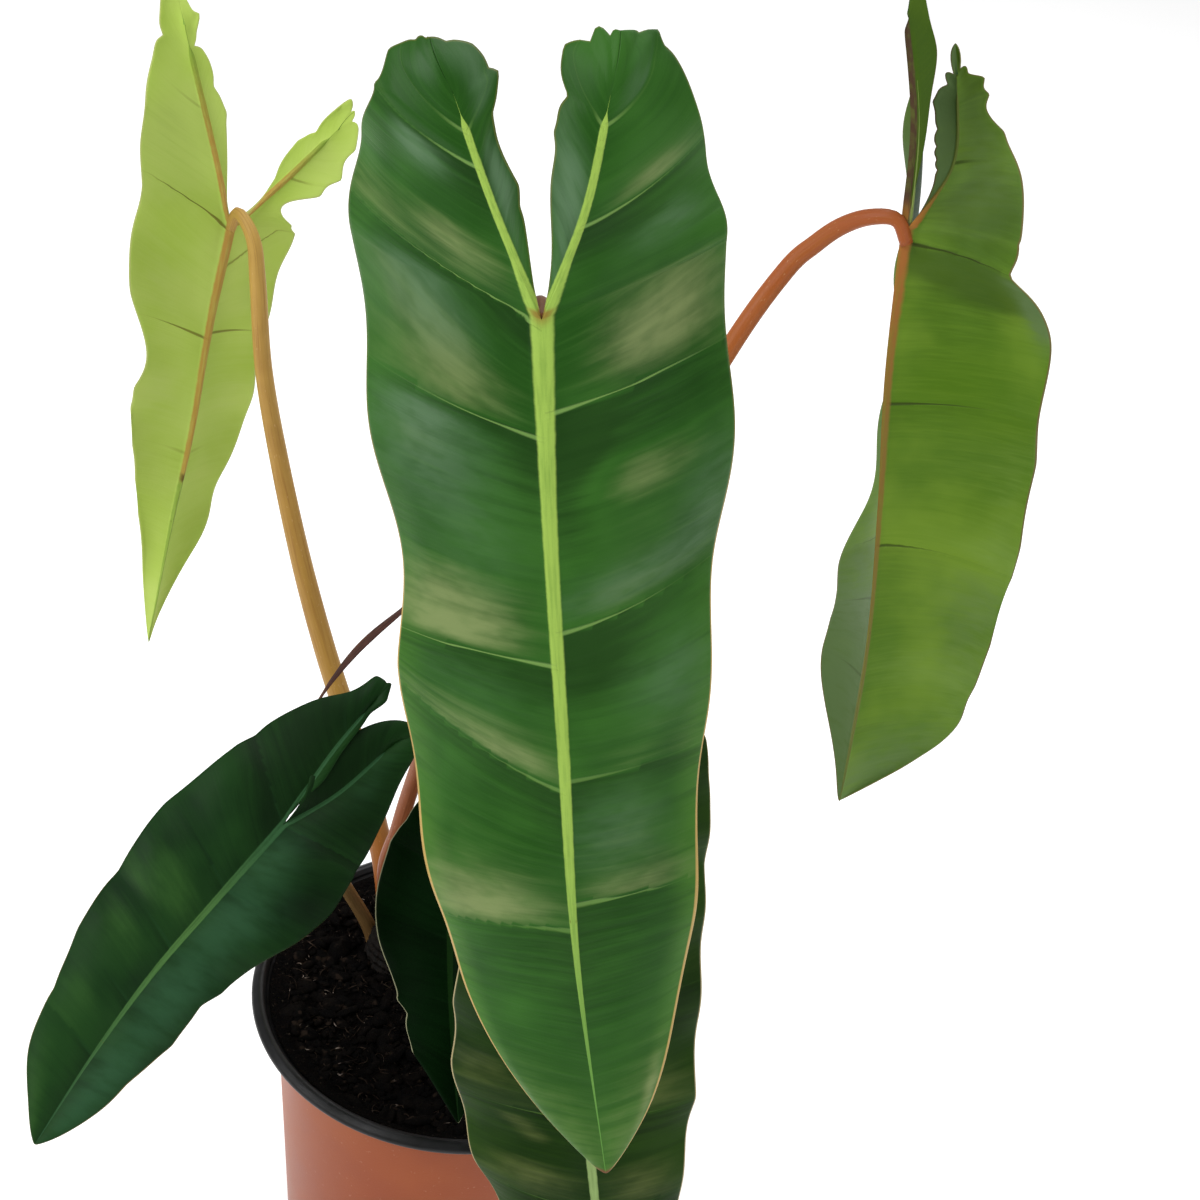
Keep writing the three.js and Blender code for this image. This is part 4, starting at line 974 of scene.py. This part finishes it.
outside = np.vstack([
    [[51.0, 0.0], [60.0, 0.0]],
    arc((64.5, 1.5), 1.5, -90, -5, 6),
    np.linspace([BODY_FOOT, 3.0], [BODY_TOP, COLLAR], 40),
    [[75.2, 138.6], [75.7, 139.6], [75.8, 142.0], [75.8, 144.6]],
])
rim = np.vstack([
    [[76.2, 145.5], [80.0, 145.5], [82.8, 145.5]],
    arc((83.2, 147.3), 1.8, -80, 60, 9),
    arc((81.6, 147.3), 2.7, 60, 120, 7),
    arc((80.6, 147.4), 1.5, 130, 185, 6),
    [[78.6, 146.4], [76.0, 145.3], [74.4, 144.4], [73.3, 142.5], [73.0, 139.0], [72.6, 134.0]],
    [[64.8, FLOOR], [51.0, FLOOR]],
])
print("pot profile", len(outside) + len(rim), "points")


# %% Pot finishes
def terracotta_plastic():
    """Warm satin plastic: soft mottling, fine upright scuffs, a little dust, and a line of painted shade under the
    collar.
    """
    f = Finish("terracotta_plastic", 0.2)
    place = f.place()
    cloud = f.noise(place, 14.0, 3.0)
    base = f.paint("#893d14", "#95491c", cloud, 0.35, 0.7)
    base = f.paint(base, "#c98f70", f.noise(f.place((1.0, 1.0, 0.06)), 420.0, 3.0, 0.7), 0.62, 0.8, 0.0, 0.07)
    base = f.paint(base, "#caa088", f.noise(place, 600.0), 0.66, 0.78, 0.0, 0.2)
    # Painted shade: a darker line just under the step where the collar widens.
    off_collar = abs(f.split(place)[2] - (COLLAR - 0.5) * MM)
    base = f.paint(base, "#6c2c10", off_collar, 0.0001, 0.0011, 0.4, 0.0)
    return f.made(base, f.rise(cloud, 0.3, 0.7, 0.34, 0.42), f.noise(place, 1400.0), 0.00005)


def black_plastic():
    """Near black satin plastic with grey scuffs."""
    f = Finish("black_plastic", 0.25)
    base = f.paint("#0c0c0d", "#18181a", f.noise(f.place(), 60.0, 3.0), 0.35, 0.7)
    scuff = f.noise(f.place((1.0, 1.0, 4.0)), 260.0, 4.0, 0.7)
    base = f.paint(base, "#47464a", scuff, 0.6, 0.78, 0.0, 0.35)
    return f.made(base, f.rise(scuff, 0.3, 0.8, 0.3, 0.5), scuff, 0.00012)


# %% Pot turned
def turned_rings(outline, sides=POT_SIDES):
    """Rings of points about the vertical axis for an outline of (radius, height) pairs."""
    radius, height = np.asarray(outline, float).T[..., None]
    angle = full_turn(sides)
    return np.stack([radius * np.cos(angle), radius * np.sin(angle), height + 0 * angle], -1)


floor_radii = np.r_[0.5, 20.0, 38.0, np.linspace(40, 49.6, 8)]
under_floor = [[r, 0.0] for r in floor_radii]
inside_floor = [[r, FLOOR] for r in floor_radii[::-1]]
rings = turned_rings(np.vstack([under_floor, outside, rim, inside_floor]))
pot_points, pot_quads, pot_fans = skin(rings)
ring_number = pot_quads[:, 0] // POT_SIDES
under_ring = ring_number < len(floor_radii) - 1
on_floor = under_ring | (ring_number >= len(rings) - len(floor_radii))

# %% Drain holes
hole = full_turn(DRAIN_HOLES)
hole_middles = DRAIN_RING * np.stack([np.cos(hole), np.sin(hole)], 1)


def nearest_hole(xy):
    """For each point, the middle of the hole that is nearest to it."""
    return hole_middles[np.linalg.norm(xy[..., None, :] - hole_middles, axis=-1).argmin(-1)]


quad_middle = pot_points[pot_quads].mean(1)[:, :2]
open_quads = on_floor & (np.linalg.norm(quad_middle - nearest_hole(quad_middle), axis=-1) < DRAIN_RADIUS)

# The corners of the opened quads that other quads still use are drawn on to the hole's circle.
shared = np.intersect1d(pot_quads[open_quads], pot_quads[~open_quads])
middle = nearest_hole(pot_points[shared, :2])
pot_points[shared, :2] = middle + DRAIN_RADIUS * unit(pot_points[shared, :2] - middle)

# A wall joins each edge of the opening in the under side to the same edge inside: ring i pairs with ring -1 - i.
brim = open_edges(pot_quads[open_quads & under_ring])
twin = (len(rings) - 1 - brim // POT_SIDES) * POT_SIDES + brim % POT_SIDES
hole_walls = np.stack([brim[:, 0], brim[:, 1], twin[:, 1], twin[:, 0]], 1)
print(DRAIN_HOLES, "drain holes with", len(hole_walls) // DRAIN_HOLES, "wall faces each")

# %% Pot made
black_quads = ring_number[~open_quads] >= len(under_floor) + len(outside) - 1
pot_slots = np.r_[black_quads, np.zeros(len(hole_walls)), np.zeros(POT_SIDES), np.ones(POT_SIDES)]
fine_piece("pot", pot_points, (pot_quads[~open_quads], hole_walls, pot_fans), [terracotta_plastic(), black_plastic()],
           slots=pot_slots)


# %% [markdown]
# ## The soil
#
# The potting mix is dark peat with bark, fibre and a few pale grains. Its surface is a round height field with lumps
# of several sizes, and loose bits lie on it.

# %% Soil surface
SOIL_TOP, SOIL_RADIUS = 141.2, 72.7
SOIL_RINGS, SOIL_SIDES = 170, 360
SETTLED, LUMPS = 0.6, 1.2
BANK_START, BANK_HEIGHT = 0.82, 4.4
LEDGE_SOIL = [[74.6, 144.9], [76.4, 145.9], [77.9, 146.5], [77.9, 146.25], [76.0, 145.45], [74.4, 144.55],
              [73.2, 142.6]]
SOIL_SIDE = [[SOIL_RADIUS, 141.5], [SOIL_RADIUS - 0.3, 134.0], [64.2, 2.6], [0.1, 2.6]]


def soil_height(x, y):
    """Height of the soil: the CAD source's low lumps and sunken edge, crumbs of three sizes, and a bank that the
    watering has washed up against the pot's wall."""
    low = np.sin(x / 7 + 1) * np.cos(y / 9) + np.sin((x + y) / 13)
    share = np.hypot(x, y) / SOIL_RADIUS
    points = np.stack([x, y, 0 * x], -1)
    crumbs = 0.5 * waves(points, 11, 1) + 0.45 * np.abs(waves(points, 5, 2)) + 0.28 * waves(points, 2.4, 3)
    bank = BANK_HEIGHT * smooth_step(BANK_START, 1.0, share)
    return SOIL_TOP - SETTLED + LUMPS * (0.4 * low - share**4) + crumbs + bank


def soil_finish():
    """Almost black peat with brown crumbs and small grey and rusty grains."""
    f = Finish("potting_mix", 0.06)
    place = f.place()
    lump = f.noise(place, 260.0, 5.0, 0.7)
    base = f.paint("#020101", "#0e0907", lump, 0.4, 0.7)
    base = f.paint(base, "#1c140e", f.noise(place, 420.0), 0.62, 0.74, 0.0, 0.8)
    base = f.paint(base, "#4c433a", f.noise(place, 800.0, 1.0), 0.7, 0.76, 0.0, 0.5)
    grain = f.add("ShaderNodeTexVoronoi", {"Vector": place, "Scale": 900.0})
    return f.made(base, f.rise(lump, 0.3, 0.8, 0.75, 1.0), lump + grain * 0.5, 0.0016)


soil_rings = turned_rings([[SOIL_RADIUS * share, 0] for share in np.linspace(0.002, 1, SOIL_RINGS)], SOIL_SIDES)
soil_rings[..., 2] = soil_height(soil_rings[..., 0], soil_rings[..., 1])
soil_body = np.concatenate([soil_rings, turned_rings([*LEDGE_SOIL, *SOIL_SIDE], SOIL_SIDES)])
soil_points, soil_quads, soil_fans = skin(soil_body)
fine_piece("soil", soil_points, (soil_quads[:, ::-1], soil_fans[:, ::-1]), [soil_finish()])


# %% Loose bits
SCATTER_RADIUS, STEM_CLEARANCE = 71, 20
YAW_RANGE = 6.3


def scattered(count, seed):
    """Random places on the soil, clear of the wall and of the stem, each with the soil's height."""
    rng = np.random.default_rng(seed)
    r = SCATTER_RADIUS * np.sqrt(rng.uniform(0, 1, 4 * count))
    a = rng.uniform(0, 2 * np.pi, 4 * count)
    x, y = r * np.cos(a), r * np.sin(a)
    keep = np.hypot(x - CROWN_PLACE[0], y - CROWN_PLACE[1]) > STEM_CLEARANCE
    x, y = x[keep][:count], y[keep][:count]
    return np.stack([x, y, soil_height(x, y)], -1), rng


def laid(place, local, rng, slope, rise):
    """Local points (bit, point, xyz) tilted at random about their x axis, turned about the vertical, and lifted."""
    yaw, tilt = rng.uniform(0, YAW_RANGE, (len(place), 1)), rng.uniform(-slope, slope, (len(place), 1))
    x, y, z = np.moveaxis(local, -1, 0)
    y, z = np.cos(tilt) * y - np.sin(tilt) * z, np.sin(tilt) * y + np.cos(tilt) * z
    turned = np.stack([np.cos(yaw) * x - np.sin(yaw) * y, np.sin(yaw) * x + np.cos(yaw) * y, z], -1)
    return (place[:, None] + turned + [0, 0, rise]).reshape(-1, 3)


def copied(faces, count, size):
    """The faces of one bit, numbered on for each of its copies of so many points."""
    return (faces[None] + (np.arange(count) * size)[:, None, None]).reshape(-1, faces.shape[1])


# %% Bark bits
BALL_ROWS, BALL_SIDES, POLE_GAP = 5, 6, 0.12


def bark_bits(count, seed):
    """Rough pebbles: a 6 by 5 sphere grid, squeezed and pushed in and out at random."""
    place, rng = scattered(count, seed)
    up, around = np.linspace(POLE_GAP, np.pi - POLE_GAP, BALL_ROWS)[:, None], full_turn(BALL_SIDES)
    grid = np.stack([np.sin(up) * np.cos(around), np.sin(up) * np.sin(around), np.cos(up) + 0 * around], -1)
    ball, *faces = skin(grid, ends=([0, 0, 1], [0, 0, -1]))
    size = rng.gamma(2.0, 0.65, (count, 1, 1)) + 0.6
    local = ball[None] * size * rng.uniform([1.0, 0.6, 0.25], [2.0, 1.1, 0.6], (count, 3))[:, None]
    local = local * rng.uniform(0.75, 1.2, (count, len(ball), 1))
    return laid(place, local, rng, 0.4, 0.2), [copied(group[:, ::-1], count, len(ball)) for group in faces]


# %% Fibre bits
FIBRE_RINGS, FIBRE_SIDES = 8, 3


def fibre_bits(count, seed):
    """Curved fibres: three-sided tubes on an arc of random length and bend."""
    place, rng = scattered(count, seed)
    t, a = np.linspace(-1, 1, FIBRE_RINGS), full_turn(FIBRE_SIDES)
    length = rng.gamma(3.0, 0.55, (count, 1)) + 0.6
    bend = rng.normal(0, 0.35, (count, 1))
    thick = rng.uniform(0.12, 0.32, (count, 1))
    spine = np.stack([length * t, length * bend * (t**2 - 0.4), 0.12 * length * (1 - t**2)], -1)
    width = thick[:, :, None] * (1 - 0.8 * np.abs(t)[None, :, None] ** 3)
    ring = np.stack([0 * width * a, width * np.cos(a), width * np.sin(a)], -1)
    local = (spine[:, :, None] + ring).reshape(count, -1, 3)
    caps = np.array([[2, 1, 0], np.arange(FIBRE_SIDES) + (FIBRE_RINGS - 1) * FIBRE_SIDES])
    faces = grid_quads(FIBRE_RINGS, FIBRE_SIDES, closed_rows=True), caps
    return laid(place, local, rng, 0.25, 0.35), [copied(group, count, local.shape[1]) for group in faces]


# %% Bits made
def bit_finish(name, dark, light, pale):
    """Each bit takes its own tone from a coarse noise."""
    f = Finish(name, 0.06)
    place = f.place()
    base = f.paint(dark, light, f.noise(place, 140.0, 2.0, 0.8), 0.36, 0.66)
    base = f.paint(base, pale, f.noise(place, 230.0, 1.0), 0.6, 0.72, 0.0, 0.9)
    grain = f.noise(place, 1500.0, 3.0)
    return f.made(base, f.rise(grain, 0.3, 0.7, 0.7, 0.95), grain, 0.0004)


for bit_name, maker, count, seed, tones in (
    ("bark_bits", bark_bits, 1500, 11, ("#030202", "#0c0806", "#261d17")),
    ("fibre_bits", fibre_bits, 760, 12, ("#120c09", "#3e322a", "#a4948a")),
):
    bits = mesh_piece(bit_name, *maker(count, seed), [bit_finish(bit_name, *tones)])
    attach(bits, "root")


# %% [markdown]
# ## Floor, light and camera
#
# A plain pale floor and soft studio light from above and from both sides. The camera looks down on the plant as the
# photograph does: it was found from the rim's ellipse and the pot's taper.

# %% Floor
def floor_finish():
    """Pale plaster with the faintest mottling, lit a little from within like a photographer's light table."""
    f = Finish("studio_floor", 0.05, Roughness=0.9, Emission_Color=(1.0, 1.0, 1.0, 1.0), Emission_Strength=0.42)
    return f.made(f.mix(f.noise(f.place(), 3.0), (0.86, 0.86, 0.86, 1), (0.9, 0.9, 0.9, 1)))


FLOOR_REACH, FLOOR_DROP = 6000, 0.5
corners = FLOOR_REACH * np.array([[-1, -1], [1, -1], [1, 1], [-1, 1]])
floor_points = np.c_[corners, np.full(4, -FLOOR_DROP)]
floor = mesh_piece("studio_floor", floor_points, [np.array([[0, 1, 2, 3]])], [floor_finish()])


# %% Lights
def set_up(name, data, place, side, up, back):
    """An object at a place, with its own axes along side, up and back."""
    thing = bpy.data.objects.new(name, data)
    thing.matrix_world = Matrix([*zip(side, up, back, place), (0, 0, 0, 1)])
    bpy.context.scene.collection.objects.link(thing)
    return thing


def soft_light(name, place, size, power, aim=(0, 0, 0.3)):
    """A square area light that looks from its place towards the plant."""
    data = bpy.data.lights.new(name, "AREA")
    data.shape, data.size, data.energy = "SQUARE", size, power
    back = unit(np.subtract(place, aim))
    side = unit(np.cross([0, 0, 1], back))
    set_up(name, data, place, side, np.cross(back, side), back)


soft_light("window", (-1.3, -0.7, 1.5), 1.4, 24)
soft_light("sky", (0.4, 0.8, 2.0), 1.8, 24)
soft_light("fill", (1.4, -1.3, 0.9), 1.2, 6)
world = bpy.data.worlds.new("studio")
bpy.context.scene.world = world
world.use_nodes = True
background = world.node_tree.nodes["Background"].inputs
background[0].default_value, background[1].default_value = (1.0, 1.0, 1.0, 1.0), 0.42
bpy.context.scene.view_settings.view_transform = "Standard"

# %% Camera
CAMERA_PLACE = (0.035, -0.566, 0.720)
PITCH, ROLL = math.radians(33.3), math.radians(8.0)
FOCAL_PIXELS, FRAME_PIXELS, SENSOR = 1900.0, 1200.0, 36.0

forward = np.array([0, math.cos(PITCH), -math.sin(PITCH)])
level = np.array([1.0, 0.0, 0.0])
upright = np.cross(level, forward)
right = math.cos(ROLL) * level + math.sin(ROLL) * upright
above = -math.sin(ROLL) * level + math.cos(ROLL) * upright
camera_data = bpy.data.cameras.new("camera")
camera_data.sensor_width = SENSOR
camera_data.lens = SENSOR * FOCAL_PIXELS / FRAME_PIXELS
camera_data.clip_start = 0.01
bpy.context.scene.camera = set_up("camera", camera_data, CAMERA_PLACE, right, above, -forward)
print("camera lens", camera_data.lens, "mm")
